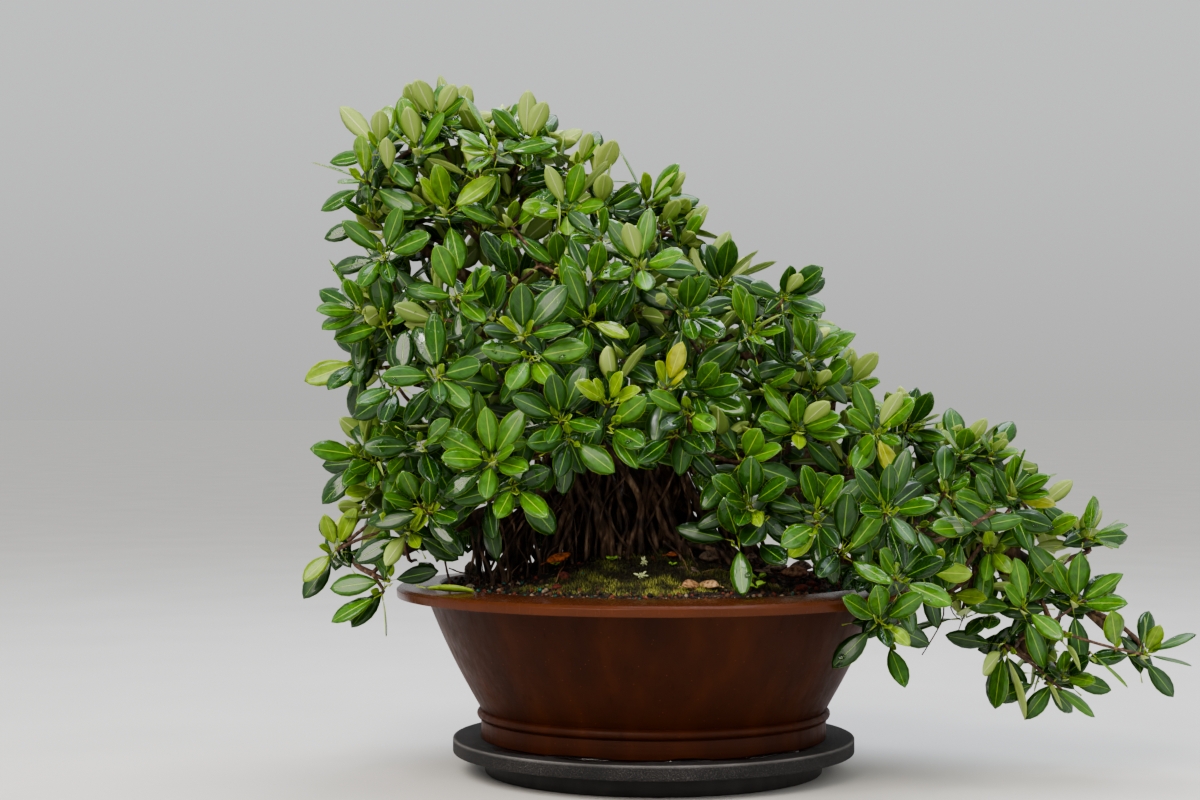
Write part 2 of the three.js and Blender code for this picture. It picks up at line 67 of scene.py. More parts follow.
PHOTO_WIDTH, PHOTO_HEIGHT = 1200, 800
LENS, SENSOR = 70.0, 36.0

camera = bpy.data.objects.new("camera", bpy.data.cameras.new("camera"))
camera.location = CAMERA_PLACE
camera.rotation_euler = (math.radians(90), 0, 0)
camera.data.lens = LENS
camera.data.sensor_width = SENSOR
camera.data.clip_start = 0.05
bpy.context.scene.collection.objects.link(camera)
bpy.context.scene.camera = camera


def sight_line(pixel_x, pixel_y):
    """The direction from the camera to what the photograph shows at a pixel, 1 long in depth."""
    focal_pixels = LENS / SENSOR * PHOTO_WIDTH
    across = (pixel_x - PHOTO_WIDTH / 2) / focal_pixels
    down = (pixel_y - PHOTO_HEIGHT / 2) / focal_pixels
    return Vector((across, 1, -down))


# Turntable base
# A plain disc of black-stained hardwood, turned on a lathe, with a boss in the middle of its top that
# centres the board. It stands on the surface, and the board above it turns on it.
BASE_ARRIS, BELOW_BOARD = 0.0012, 0.0022
PIN_RADIUS, PIN_CLEARANCE, PIN_REACH = 0.0095, 0.0005, 0.006
TURNED_STEPS = 144


def linear(colour):
    """An sRGB hex colour as the linear RGBA that a shader takes."""
    levels = [int(colour[i : i + 2], 16) / 255 for i in (1, 3, 5)]
    return [c / 12.92 if c <= 0.04045 else ((c + 0.055) / 1.055) ** 2.4 for c in levels] + [1.0]


def new_material(name, **sockets):
    """A material with one principled shader, and the settings that are the same all over it."""
    material = bpy.data.materials.new(name)
    material.use_nodes = True
    shader = material.node_tree.nodes["Principled BSDF"]
    for socket, value in sockets.items():
        shader.inputs[socket.replace("_", " ")].default_value = value
    return material, shader


def given_out(value):
    """A node stands for the first of its outputs that is in use."""
    if isinstance(value, bpy.types.Node):
        return next(socket for socket in value.outputs if socket.enabled)
    return value


def link(material, value, node, name):
    material.node_tree.links.new(given_out(value), node.inputs[name])


def add_node(material, kind, values, ramp=(), **settings):
    """Adds a shader node. Values fill its inputs with constants, other nodes or their sockets."""
    made = material.node_tree.nodes.new("ShaderNode" + kind)
    for name, setting in settings.items():
        setattr(made, name, setting)
    for name, value in values.items():
        if isinstance(value, (bpy.types.Node, bpy.types.NodeSocket)):
            link(material, value, made, name)
        else:
            made.inputs[name].default_value = value
    for i, (place, colour) in enumerate(ramp):
        stops = made.color_ramp.elements
        stop = stops[i] if i < 2 else stops.new(place)
        stop.position = place
        stop.color = linear(colour)
    return made


def turned(profile, steps=TURNED_STEPS):
    """A bmesh of a profile of (radius, height) points spun about the vertical axis."""
    bm = bmesh.new()
    points = [bm.verts.new((radius, 0, height)) for radius, height in profile]
    edges = [bm.edges.new(pair) for pair in zip(points, points[1:])]
    bmesh.ops.spin(
        bm, geom=points + edges, axis=(0, 0, 1), cent=(0, 0, 0),
        steps=steps, angle=2 * math.pi, use_merge=True,
    )
    bmesh.ops.remove_doubles(bm, verts=bm.verts, dist=1e-6)
    bmesh.ops.recalc_face_normals(bm, faces=bm.faces)
    return bm


def round_arrises(bm, offset, segments=3, sharper_than=math.radians(24)):
    """Bevels every edge whose faces meet at more than an angle."""
    arrises = [e for e in bm.edges if e.is_manifold and e.calc_face_angle() > sharper_than]
    bmesh.ops.bevel(
        bm, geom=arrises, offset=offset, segments=segments, profile=0.5,
        affect="EDGES", material=-1, clamp_overlap=True,
    )


def make_piece(name, bm, *materials):
    """The bmesh as a smooth-shaded object at the origin, with its materials."""
    mesh = bpy.data.meshes.new(name)
    bm.to_mesh(mesh)
    bm.free()
    mesh.shade_smooth()
    for material in materials:
        mesh.materials.append(material)
    piece = bpy.data.objects.new(name, mesh)
    bpy.context.scene.collection.objects.link(piece)
    return piece


base_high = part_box("turntable_base")[1]
board_low, board_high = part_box("turntable_board")
base_top = board_low.z - BELOW_BOARD
base_bm = turned([
    (0, 0), (base_high.x, 0), (base_high.x, base_top), (PIN_RADIUS, base_top),
    (PIN_RADIUS, base_high.z), (0, base_high.z),
])
round_arrises(base_bm, BASE_ARRIS)

# black-stained beech: near black, with a dull oiled sheen and a straight grain a few millimetres wide
stained_beech, shader = new_material("black-stained beech", Roughness=0.55, IOR=1.5)
where = add_node(stained_beech, "TexCoord", {})
grain = add_node(stained_beech, "Mapping", {"Vector": where.outputs["Object"], "Scale": (30, 220, 60)})
grain = add_node(stained_beech, "TexNoise", {"Vector": grain, "Scale": 1.0, "Detail": 6})
tone = add_node(stained_beech, "ValToRGB", {0: grain}, ramp=[(0.3, "#141211"), (0.75, "#2e2926")])
link(stained_beech, tone, shader, "Base Color")
bump = add_node(stained_beech, "Bump", {"Height": grain, "Strength": 0.25, "Distance": 0.0004})
link(stained_beech, bump, shader, "Normal")

turntable_base = make_piece("turntable_base_turned", base_bm, stained_beech)
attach(turntable_base, "stand_base")
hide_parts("turntable_base")

# Thrust bearing
# A flat ring of plated steel that lies between the two discs and carries the board clear of the base.
bearing_low, bearing_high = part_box("thrust_bearing")
BEARING_INNER, BEARING_ARRIS = 0.058, 0.0003
bearing_bm = turned([
    (BEARING_INNER, bearing_low.z), (bearing_high.x, bearing_low.z), (bearing_high.x, bearing_high.z),
    (BEARING_INNER, bearing_high.z), (BEARING_INNER, bearing_low.z),
])
round_arrises(bearing_bm, BEARING_ARRIS, segments=2)

# zinc-plated steel: bright and cool, with a fine mottle where the plating is uneven
plated_steel, shader = new_material("zinc-plated steel", Metallic=1.0, Roughness=0.3)
where = add_node(plated_steel, "TexCoord", {})
mottle = add_node(plated_steel, "TexNoise", {"Vector": where.outputs["Object"], "Scale": 700.0})
tone = add_node(plated_steel, "ValToRGB", {0: mottle}, ramp=[(0.2, "#9b9da0"), (0.8, "#c9cbcd")])
link(plated_steel, tone, shader, "Base Color")

thrust_bearing = make_piece("thrust_bearing_ring", bearing_bm, plated_steel)
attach(thrust_bearing, "stand_base")
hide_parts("thrust_bearing")

# Turntable board
# A heavier disc with the pot on it, cut from board and painted with a granular black paint. Its arris
# is worn to a lighter grey, and a film of water stands on it in front of the pot's foot.
BOARD_ARRIS = 0.0009
WORN_SIDE, WORN_TOP = (0.0024, 0.0002), (0.0022, 0.0004)
FOOT_RADIUS = 0.129
FILM_REACH, FILM_EDGE, FILM_RAGGED, FILM_BACK, FILM_FRONT = 0.016, 0.003, 0.022, -0.05, -0.09
pin_top = board_low.z + PIN_REACH
board_bm = turned([
    (0, pin_top), (PIN_RADIUS + PIN_CLEARANCE, pin_top), (PIN_RADIUS + PIN_CLEARANCE, board_low.z),
    (board_high.x, board_low.z), (board_high.x, board_high.z), (0, board_high.z),
])
round_arrises(board_bm, BOARD_ARRIS)

# granular paint on birch board: flat black with grit of about a millimetre that catches the light,
# greyer where handling has worn the arris, and dark and glossy where it is wet
grit_paint, shader = new_material("granular black paint", IOR=1.5)
where = add_node(grit_paint, "TexCoord", {})
grit = add_node(grit_paint, "TexNoise", {"Vector": where.outputs["Object"], "Scale": 1200.0, "Detail": 3})
tone = add_node(
    grit_paint, "ValToRGB", {0: grit},
    ramp=[(0.35, "#121011"), (0.52, "#242122"), (0.62, "#3d3938"), (0.78, "#726d6b")],
)
cloud = add_node(grit_paint, "TexNoise", {"Vector": where.outputs["Object"], "Scale": 26.0, "Detail": 4})
dusty = add_node(grit_paint, "ValToRGB", {0: cloud}, ramp=[(0.35, "#8a8888"), (0.7, "#ffffff")])
dusted = add_node(grit_paint, "Mix", {0: 1.0, 6: tone, 7: dusty}, data_type="RGBA", blend_type="MULTIPLY")
place = add_node(grit_paint, "SeparateXYZ", {0: where.outputs["Object"]})
across = add_node(grit_paint, "CombineXYZ", {0: place.outputs[0], 1: place.outputs[1]})
radius = add_node(grit_paint, "VectorMath", {0: across}, operation="LENGTH")
arris = add_node(
    grit_paint, "MapRange",
    {0: radius, 1: board_high.x - WORN_SIDE[0], 2: board_high.x - WORN_SIDE[1]},
)
above = add_node(
    grit_paint, "MapRange",
    {0: place.outputs[2], 1: board_high.z - WORN_TOP[0], 2: board_high.z - WORN_TOP[1]},
)
worn = add_node(grit_paint, "Math", {0: arris, 1: above}, operation="MULTIPLY")
worn = add_node(grit_paint, "Math", {0: worn, 1: cloud}, operation="MULTIPLY")
dry = add_node(grit_paint, "Mix", {0: worn, 6: dusted, 7: linear("#85817f")}, data_type="RGBA")
ragged = add_node(grit_paint, "Math", {0: cloud, 1: FILM_RAGGED, 2: radius}, operation="MULTIPLY_ADD")
film_out = FOOT_RADIUS + FILM_REACH
wet = add_node(grit_paint, "MapRange", {0: ragged, 1: film_out, 2: film_out + FILM_EDGE, 3: 1.0, 4: 0.0})
in_front = add_node(
    grit_paint, "MapRange", {0: place.outputs[1], 1: FILM_FRONT, 2: FILM_BACK, 3: 1.0, 4: 0.0},
)
wet = add_node(grit_paint, "Math", {0: wet, 1: in_front}, operation="MULTIPLY")
painted = add_node(grit_paint, "Mix", {0: wet, 6: dry, 7: linear("#0b0b0d")}, data_type="RGBA")
link(grit_paint, painted, shader, "Base Color")
gloss = add_node(grit_paint, "MapRange", {0: wet, 3: 0.72, 4: 0.06})
link(grit_paint, gloss, shader, "Roughness")
relief = add_node(grit_paint, "MapRange", {0: wet, 3: 1.0, 4: 0.05})
bump = add_node(grit_paint, "Bump", {"Height": grit, "Strength": relief, "Distance": 0.0008})
link(grit_paint, bump, shader, "Normal")

turntable_board = make_piece("turntable_board_painted", board_bm, grit_paint)
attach(turntable_board, "display")
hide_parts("turntable_board")

# Pot
# A round stoneware bowl, thrown on a wheel: a flat lip that stands well out, a straight flaring wall,
# a bead and a plain foot band. Three drain holes go through its floor.
pot_low, pot_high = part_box("pot")
seat, POT_RIM = pot_low.z, pot_high.x
LIP_UNDER, LIP_TOP, LIP_INNER, LIP_RISE = 0.1314, 0.139, 0.160, 0.0024
BEAD, BEAD_LOW, BEAD_HEIGHT, BEAD_STEPS = 0.132, seat + 0.014, 0.007, 10
POT_FLOOR, FLOOR_RADIUS, FOOT_INNER, FOOT_RISE = 0.039, 0.118, 0.112, 0.003
POT_STEPS, POT_ARRIS = 160, 0.0008
FOOT_EASE, NECK, NECK_IN, RIM_SLOPE, RIM_DOWN, RIM_IN = 0.002, 0.001, 0.0008, 0.0004, 0.0022, 0.0026
bead_middle = BEAD_LOW + BEAD_HEIGHT / 2
bead_round = [
    (BEAD - BEAD_HEIGHT / 2 * (1 - math.cos(a)), bead_middle + BEAD_HEIGHT / 2 * math.sin(a))
    for a in (math.radians(-90 + 180 * i / BEAD_STEPS) for i in range(BEAD_STEPS + 1))
]
WALL_FOOT, WALL_FLARE, WALL_BELLY, WALL_STEPS = 0.1295, 0.040, 0.0022, 16
wall_low, wall_top = BEAD_LOW + BEAD_HEIGHT + 0.0012, LIP_UNDER - 0.0004


def wall_radius(share):
    """The outside of the wall, from the bead to the lip: nearly straight, with a slight belly."""
    return WALL_FOOT + WALL_FLARE * share + WALL_BELLY * math.sin(math.pi * share)


wall = [
    (wall_radius(i / WALL_STEPS), wall_low + (wall_top - wall_low) * i / WALL_STEPS)
    for i in range(WALL_STEPS + 1)
]
pot_profile = [
    (0, seat + FOOT_RISE), (FOOT_INNER, seat + FOOT_RISE), (FOOT_INNER + FOOT_EASE, seat),
    (FOOT_RADIUS, seat), (FOOT_RADIUS, BEAD_LOW - NECK), (FOOT_RADIUS - NECK_IN, BEAD_LOW),
    *bead_round,
    (WALL_FOOT - NECK, BEAD_LOW + BEAD_HEIGHT),
    *wall,
    (POT_RIM - RIM_SLOPE, LIP_UNDER), (POT_RIM, LIP_TOP - RIM_DOWN), (POT_RIM - RIM_IN, LIP_TOP),
    (LIP_INNER, LIP_TOP + LIP_RISE), (FLOOR_RADIUS, POT_FLOOR), (0, POT_FLOOR),
]
pot_bm = turned(pot_profile, POT_STEPS)
round_arrises(pot_bm, POT_ARRIS, sharper_than=math.radians(30))

DRAIN_RADIUS, DRAIN_RING, DRAIN_COUNT = 0.009, 0.062, 3
drain_bm = bmesh.new()
for i in range(DRAIN_COUNT):
    angle = i * 2 * math.pi / DRAIN_COUNT + math.pi / 2
    spot = Vector((DRAIN_RING * math.cos(angle), DRAIN_RING * math.sin(angle), POT_FLOOR))
    bmesh.ops.create_cone(
        drain_bm, cap_ends=True, segments=32, radius1=DRAIN_RADIUS, radius2=DRAIN_RADIUS, depth=0.03,
        matrix=Matrix.Translation(spot),
    )

# burnished brown stoneware: a dense iron-rich clay with a satin skin, smoother on the lip and painted paler
# there as painted light from above, with olive-brown streaks that run down the wall and a few darker water
# marks
stoneware, shader = new_material("burnished brown stoneware", IOR=1.33, Specular_IOR_Level=0.3)
where = add_node(stoneware, "TexCoord", {})
streaks = add_node(stoneware, "Mapping", {"Vector": where.outputs["Object"], "Scale": (34, 34, 5)})
streaks = add_node(stoneware, "TexNoise", {"Vector": streaks, "Scale": 1.0, "Detail": 5})
body = add_node(
    stoneware, "ValToRGB", {0: streaks},
    ramp=[(0.25, "#2f1405"), (0.5, "#3b1906"), (0.7, "#482107"), (0.85, "#45290a")],
)
marks = add_node(stoneware, "Mapping", {"Vector": where.outputs["Object"], "Scale": (150, 150, 34)})
marks = add_node(stoneware, "TexNoise", {"Vector": marks, "Scale": 1.0, "Detail": 6, "Roughness": 0.7})
stain = add_node(stoneware, "MapRange", {0: marks, 1: 0.60, 2: 0.78, 4: 0.6})
stained = add_node(stoneware, "Mix", {0: stain, 6: body, 7: linear("#1e0c05")}, data_type="RGBA")
speck = add_node(stoneware, "TexVoronoi", {"Vector": where.outputs["Object"], "Scale": 170.0})
speck = add_node(stoneware, "MapRange", {0: speck, 1: 0.05, 2: 0.09, 3: 0.7, 4: 0.0})
specked = add_node(stoneware, "Mix", {0: speck, 6: stained, 7: linear("#6a3a22")}, data_type="RGBA")
place = add_node(stoneware, "SeparateXYZ", {0: where.outputs["Object"]})
lip_band = {0: place.outputs[2], 1: wall_top, 2: LIP_UNDER + 0.0006}
# painted light: the lip is painted paler, where the light from above falls on it
painted_lip_light = add_node(stoneware, "MapRange", lip_band | {4: 0.32})
lip_lit = add_node(stoneware, "Mix", {0: painted_lip_light, 6: specked, 7: linear("#75452f")}, data_type="RGBA")
link(stoneware, lip_lit, shader, "Base Color")
skin = add_node(stoneware, "MapRange", {0: marks, 1: 0.3, 2: 0.75, 3: 0.4, 4: 0.64})
worn = add_node(stoneware, "MapRange", lip_band | {3: 1.0, 4: 0.5})
skin = add_node(stoneware, "Math", {0: skin, 1: worn}, operation="MULTIPLY")
link(stoneware, skin, shader, "Roughness")
throwing = add_node(stoneware, "Mapping", {"Vector": where.outputs["Object"], "Scale": (9, 9, 420)})
throwing = add_node(stoneware, "TexNoise", {"Vector": throwing, "Scale": 1.0, "Detail": 4})
bump = add_node(stoneware, "Bump", {"Height": throwing, "Strength": 0.22, "Distance": 0.0006})
link(stoneware, bump, shader, "Normal")

pot = make_piece("pot_thrown", pot_bm, stoneware)
drains = make_piece("drain_holes", drain_bm)
drilled = pot.modifiers.new("drain holes", "BOOLEAN")
drilled.operation, drilled.solver, drilled.object = "DIFFERENCE", "EXACT", drains
bpy.context.view_layer.update()
evaluated = pot.evaluated_get(bpy.context.evaluated_depsgraph_get())
drilled_mesh = bpy.data.meshes.new_from_object(evaluated)
pot.modifiers.clear()
pot.data = drilled_mesh
bpy.data.objects.remove(drains)
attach(pot, "display")
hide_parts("pot")

# Soil
# Dark compost with a little grit, heaped in a low mound that is highest under the trunk.
SOIL_EDGE, SOIL_EDGE_HEIGHT, SOIL_RISE = 0.158, 0.1395, 0.034
SOIL_STEPS, SOIL_RINGS, SOIL_GAP, SOIL_INSET = 240, 90, 0.0003, 0.0008
CRUMB_HEIGHT = 0.0016


def soil_height(x, y):
    """The smooth mound under the crumbs."""
    share = min(1.0, math.hypot(x, y) / SOIL_EDGE)
    mound = SOIL_RISE * math.cos(math.pi / 2 * share) ** 2
    uneven = 0.0016 * math.sin(90 * x + 1) * math.cos(110 * y - 0.5) * (1 - share)
    return SOIL_EDGE_HEIGHT + mound + uneven


def crumbs(x, y):
    """How far the loose crumbs stand above or below the mound."""
    coarse = noise.noise(Vector((x, y, 0)) * 240)
    fine = noise.noise(Vector((x, y, 0.3)) * 560)
    return CRUMB_HEIGHT * (0.7 * coarse + 0.5 * fine)


def soil_surface(x, y):
    return soil_height(x, y) + crumbs(x, y)


soil_floor = POT_FLOOR + SOIL_GAP
soil_bm = turned(
    [(0, soil_floor), (FLOOR_RADIUS - SOIL_INSET, soil_floor)]
    + [(SOIL_EDGE * (1 - i / SOIL_RINGS), SOIL_EDGE_HEIGHT) for i in range(SOIL_RINGS + 1)],
    SOIL_STEPS,
)
for vertex in soil_bm.verts:
    if vertex.co.z > SOIL_EDGE_HEIGHT - 0.001:
        vertex.co.z = soil_surface(vertex.co.x, vertex.co.y)

# bonsai compost: peat and bark fines, nearly black when wet, with rusty and tan bits of 2 or 3 mm
compost, shader = new_material("wet bonsai compost", Roughness=0.85)
where = add_node(compost, "TexCoord", {})
bits = add_node(compost, "TexVoronoi", {"Vector": where.outputs["Object"], "Scale": 420.0})
tint = add_node(compost, "SeparateColor", {0: bits.outputs["Color"]})
tone = add_node(
    compost, "ValToRGB", {0: tint.outputs[0]},
    ramp=[(0.0, "#0f0b08"), (0.5, "#1c140e"), (0.72, "#33231a"), (0.86, "#4a2a1b"), (0.95, "#6d5a43")],
)
tone.color_ramp.interpolation = "CONSTANT"
link(compost, tone, shader, "Base Color")
grain = add_node(compost, "TexNoise", {"Vector": where.outputs["Object"], "Scale": 700.0, "Detail": 4})
bump = add_node(compost, "Bump", {"Height": grain, "Strength": 0.8, "Distance": 0.001})
link(compost, bump, shader, "Normal")

soil = make_piece("soil_mound", soil_bm, compost)
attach(soil, "display")
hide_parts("soil")

# Grit on the soil
# Crumbs of compost, red scoria and pale pumice of 1.5 to 5 mm lie loose on the mound, thicker towards
# the lip, with a few turquoise fertiliser prills among them.
GRIT_COUNT, GRIT_EDGE, TOWARDS_LIP = 3600, 0.985, 0.4
FINEST_GRIT, GRIT_RANGE = 0.0007, 0.0017


def random_stream(seed):
    """A seeded stream of numbers from 0 to 1, the one that the solids were grown with."""
    state = seed

    def multiply(a, b):
        return a * b & 0xFFFFFFFF

    def draw():
        nonlocal state
        state = state + 0x6D2B79F5 & 0xFFFFFFFF
        mixed = multiply(state ^ state >> 15, state | 1)
        mixed ^= mixed + multiply(mixed ^ mixed >> 7, mixed | 61) & 0xFFFFFFFF
        return (mixed ^ mixed >> 14) / 4294967296

    return draw


def scattered(template, placements, bm=None):
    """Adds a copy of the template to the bmesh for each placement, a function that moves its points."""
    bm = bm or bmesh.new()
    first = len(bm.verts)
    for _ in placements:
        bm.from_mesh(template)
    for i, vertex in enumerate(bm.verts):
        if i >= first:
            vertex.co = placements[(i - first) // len(template.vertices)](vertex.co)
    return bm


def as_mesh(bm, name):
    mesh = bpy.data.meshes.new(name)
    bm.to_mesh(mesh)
    bm.free()
    return mesh


def laid(place, turn, scale):
    """A placement: the point is scaled, turned by angles and moved to its place."""
    matrix = Matrix.LocRotScale(place, turn, scale)
    return lambda point: matrix @ point


grain_bm = bmesh.new()
bmesh.ops.create_icosphere(grain_bm, subdivisions=1, radius=1)
for vertex in grain_bm.verts:
    vertex.co *= 1 + 0.5 * noise.noise(vertex.co * 1.7)
grain_mesh = as_mesh(grain_bm, "grain")

draw = random_stream(71)
grit_places = []
grit_kinds = []
for _ in range(GRIT_COUNT):
    out = SOIL_EDGE * draw() ** TOWARDS_LIP * GRIT_EDGE
    angle = 2 * math.pi * draw()
    x, y = out * math.cos(angle), out * math.sin(angle)
    size = FINEST_GRIT + GRIT_RANGE * draw() ** 2
    turn = Euler((6 * draw(), 6 * draw(), 6 * draw()))
    flat = Vector((1, 0.6 + 0.4 * draw(), 0.5 + 0.5 * draw())) * size
    grit_places.append(laid(Vector((x, y, soil_surface(x, y) + 0.3 * size)), turn, flat))
    grit_kinds.append(draw())
grit_bm = scattered(grain_mesh, grit_places)
kind = grit_bm.faces.layers.float.new("kind")
for i, face in enumerate(grit_bm.faces):
    face[kind] = grit_kinds[i // len(grain_mesh.polygons)]

# a mix by count: peat crumbs and bark, red scoria, pale pumice and coated fertiliser
grit, shader = new_material("compost crumbs, scoria and pumice", Roughness=0.8)
kinds = add_node(grit, "Attribute", {}, attribute_name="kind", attribute_type="GEOMETRY")
tone = add_node(
    grit, "ValToRGB", {0: kinds.outputs["Fac"]},
    ramp=[(0.0, "#1d150f"), (0.3, "#37281c"), (0.55, "#614029"), (0.76, "#72301f"), (0.9, "#8d7b64")],
)
tone.color_ramp.interpolation = "CONSTANT"
last = tone.color_ramp.elements.new(0.982)
last.color = linear("#17604f")
link(grit, tone, shader, "Base Color")
where = add_node(grit, "TexCoord", {})
pores = add_node(grit, "TexNoise", {"Vector": where.outputs["Object"], "Scale": 1500.0, "Detail": 3})
bump = add_node(grit, "Bump", {"Height": pores, "Strength": 0.6, "Distance": 0.0004})
link(grit, bump, shader, "Normal")

soil_grit = make_piece("soil_grit", grit_bm, grit)
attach(soil_grit, "display")

# Trunk, limbs and aerial roots
# The wood of a banyan-like fig: a leaning trunk, limbs that spread from it, and a thicket of aerial
# roots that grew down from them into the soil and thickened there. It grew as one piece.
# Each limb is given by the points it passes and its radius at the start and at the end, in millimetres.
LIMBS = [
    ([(-5, 10, 160), (-24, 6, 215), (-62, 0, 275), (-98, 3, 335), (-112, 0, 388)], 24, 9),
    ([(-112, 0, 382), (-138, -3, 410), (-160, -2, 432)], 8, 4.5),
    ([(-112, 0, 378), (-104, 4, 408), (-97, 5, 426)], 7, 4.5),
    ([(-104, 2, 350), (-145, -4, 372), (-174, -6, 392)], 7, 4),
    ([(-92, 2, 322), (-136, 6, 330), (-170, 4, 341)], 7, 4),
    ([(-72, 0, 290), (-125, -3, 286), (-179, -5, 291)], 8, 4),
    ([(-40, 5, 245), (-100, 2, 240), (-150, 0, 234), (-172, 0, 229)], 8, 4),
    ([(-30, 0, 225), (-95, -10, 205), (-150, -13, 182), (-188, -8, 164)], 8, 4),
    ([(-100, 3, 345), (-66, 2, 372), (-42, 0, 390)], 7, 4),
    ([(-70, 0, 290), (-22, 0, 328), (25, 0, 345), (60, 0, 318), (92, 0, 300)], 9, 4.5),
    (
        [
            (-24, 6, 215), (40, 5, 238), (110, 2, 232), (168, 0, 220),
            (222, 0, 192), (272, 0, 160), (316, -6, 128), (340, -8, 106),
        ],
        13, 4,
    ),
    ([(70, 4, 238), (110, 0, 254), (142, 0, 260)], 7, 4),
    ([(226, 0, 190), (258, -2, 158), (270, -4, 126), (278, -5, 88)], 5.5, 3),
    ([(-66, 0, 280), (-98, -40, 304), (-122, -62, 318)], 7, 4),
    ([(-56, 0, 265), (-72, -50, 288), (-78, -74, 300)], 7, 4),
    ([(-46, 2, 250), (-42, -55, 266), (-36, -86, 272)], 7, 4),
    ([(0, 5, 226), (22, -40, 255), (28, -66, 272)], 7, 4),
    ([(70, 5, 238), (92, -45, 226), (100, -80, 206), (106, -92, 186)], 7, 4),
    ([(-66, 0, 280), (-105, 42, 298), (-138, 64, 306)], 7, 4),
    ([(-56, 2, 265), (-74, 55, 290), (-82, 80, 302)], 7, 4),
    ([(0, 5, 226), (4, 55, 250), (2, 86, 258)], 7, 4),
    ([(70, 5, 238), (86, 45, 228), (86, 82, 214)], 7, 4),
]
MM = 0.001
NODES_PER_LIMB = 14
GOLDEN_ANGLE = math.pi * (3 - math.sqrt(5))


def curve_point(points, at):
    """A point of the smooth curve through the points. The whole part of at is the stretch it is on."""
    i = min(int(at), len(points) - 2)
    a, b = points[i], points[i + 1]
    before = points[i - 1] if i else 2 * a - b
    after = points[i + 2] if i + 2 < len(points) else 2 * b - a
    d0, d1, d2 = (math.sqrt((q - p).length) for p, q in ((before, a), (a, b), (b, after)))
    leave = ((a - before) / d0 - (b - before) / (d0 + d1) + (b - a) / d1) * d1
    arrive = ((b - a) / d1 - (after - a) / (d1 + d2) + (after - b) / d2) * d1
    w = at - i
    return (
        a + leave * w + (3 * (b - a) - 2 * leave - arrive) * w**2
        + (2 * (a - b) + leave + arrive) * w**3
    )


def spaced(points, count):
    """Points on the smooth curve, an equal length apart, with both ends: count + 1 of them."""
    fine = [curve_point(points, i / 24) for i in range(24 * (len(points) - 1) + 1)]
    run = [0.0]
    for a, b in zip(fine, fine[1:]):
        run.append(run[-1] + (b - a).length)
    found, i = [], 0
    for k in range(count + 1):
        goal = run[-1] * k / count
        while i < len(run) - 2 and run[i + 1] < goal:
            i += 1
        found.append(fine[i].lerp(fine[i + 1], (goal - run[i]) / (run[i + 1] - run[i])))
    return found


def grow_tube(bm, path, radii, sides):
    """Adds a round limb, closed at both ends: a disc that is extruded from point to point of its path."""
    tube = bmesh.new()
    ahead = (path[1] - path[0]).normalized()
    upright = Vector((0, 0, 1)).rotation_difference(ahead)
    disc = bmesh.ops.create_circle(
        tube, cap_ends=True, segments=sides, radius=radii[0],
        matrix=Matrix.LocRotScale(path[0], upright, None),
    )
    face = disc["verts"][0].link_faces[0]
    for i in range(1, len(path)):
        grown = bmesh.ops.extrude_face_region(tube, geom=[face])["geom"]
        if i > 1:
            bmesh.ops.delete(tube, geom=[face], context="FACES_ONLY")
        face = next(g for g in grown if isinstance(g, bmesh.types.BMFace))
        onward = (path[min(i + 1, len(path) - 1)] - path[i - 1]).normalized()
        turn = ahead.rotation_difference(onward)
        ahead = onward
        scale = radii[i] / radii[i - 1]
        matrix = Matrix.LocRotScale(path[i], turn, (scale,) * 3) @ Matrix.Translation(-path[i - 1])
        bmesh.ops.transform(tube, matrix=matrix, verts=face.verts)
    bmesh.ops.recalc_face_normals(tube, faces=tube.faces)
    grown = as_mesh(tube, "tube")
    bm.from_mesh(grown)
    bpy.data.meshes.remove(grown)


def taper(start, end, count):
    return [start + (end - start) * i / count for i in range(count + 1)]


def roughened(bm, depth, per_metre, first=0):
    """Moves the points along their normals by a noise, as bark swells and sinks."""
    bm.normal_update()
    for i, vertex in enumerate(bm.verts):
        if i >= first:
            vertex.co += vertex.normal * depth * noise.fractal(vertex.co * per_metre, 1.0, 2.0, 3)


limb_nodes = []
wood_bm = bmesh.new()
for i, (points, start, end) in enumerate(LIMBS):
    path = [Vector(p) * MM for p in points]
    limb_nodes += spaced(path, NODES_PER_LIMB)[1:]
    length = sum((b - a).length for a, b in zip(path, path[1:]))
    count = max(6, round(length / 0.009))
    grow_tube(wood_bm, spaced(path, count), taper(start * MM, end * MM, count), 20 if i == 0 else 10)


def nodes_near(point):
    return sorted(limb_nodes, key=lambda node: (node - point).length)


ROOTS = 23
ROOTS_MIDDLE, ROOTS_SPREAD_X, ROOTS_SPREAD_Y, ROOT_DEPTH = -0.018, 0.104, 0.058, 0.007
TOP_HEIGHT, LOWEST_TOP, HIGHEST_TOP = 0.246, 0.200, 0.285
SWAY, THINNEST, THICKEST, ROOT_TAPER = 0.007, 0.003, 0.0056, 0.8


def root_top(x, y):
    """The stretch of limb that a root with its foot at x, y hangs from."""
    aim = Vector((0.62 * x - 0.014, 0.5 * y, TOP_HEIGHT))
    return next(n for n in nodes_near(aim) if LOWEST_TOP < n.z < HIGHEST_TOP)


draw = random_stream(11)
for i in range(ROOTS):
    angle = i * GOLDEN_ANGLE
    out = math.sqrt((i + 0.5) / ROOTS)
    x = ROOTS_MIDDLE + ROOTS_SPREAD_X * out * math.cos(angle)
    y = ROOTS_SPREAD_Y * out * math.sin(angle)
    foot = Vector((x, y, soil_height(x, y) - ROOT_DEPTH))
    top = root_top(x, y)
    sway = Vector((2 * draw() - 1, 2 * draw() - 1, 0)) * SWAY
    knee = foot.lerp(top, 0.4) + sway
    radius = THINNEST + (THICKEST - THINNEST) * draw()
    path = spaced([foot, knee, top], 16)
    swell = [1 + 0.5 * math.exp(-k * 0.9) for k in range(17)]
    radii = [r * s for r, s in zip(taper(radius, radius * ROOT_TAPER, 16), swell)]
    grow_tube(wood_bm, path, radii, 10)

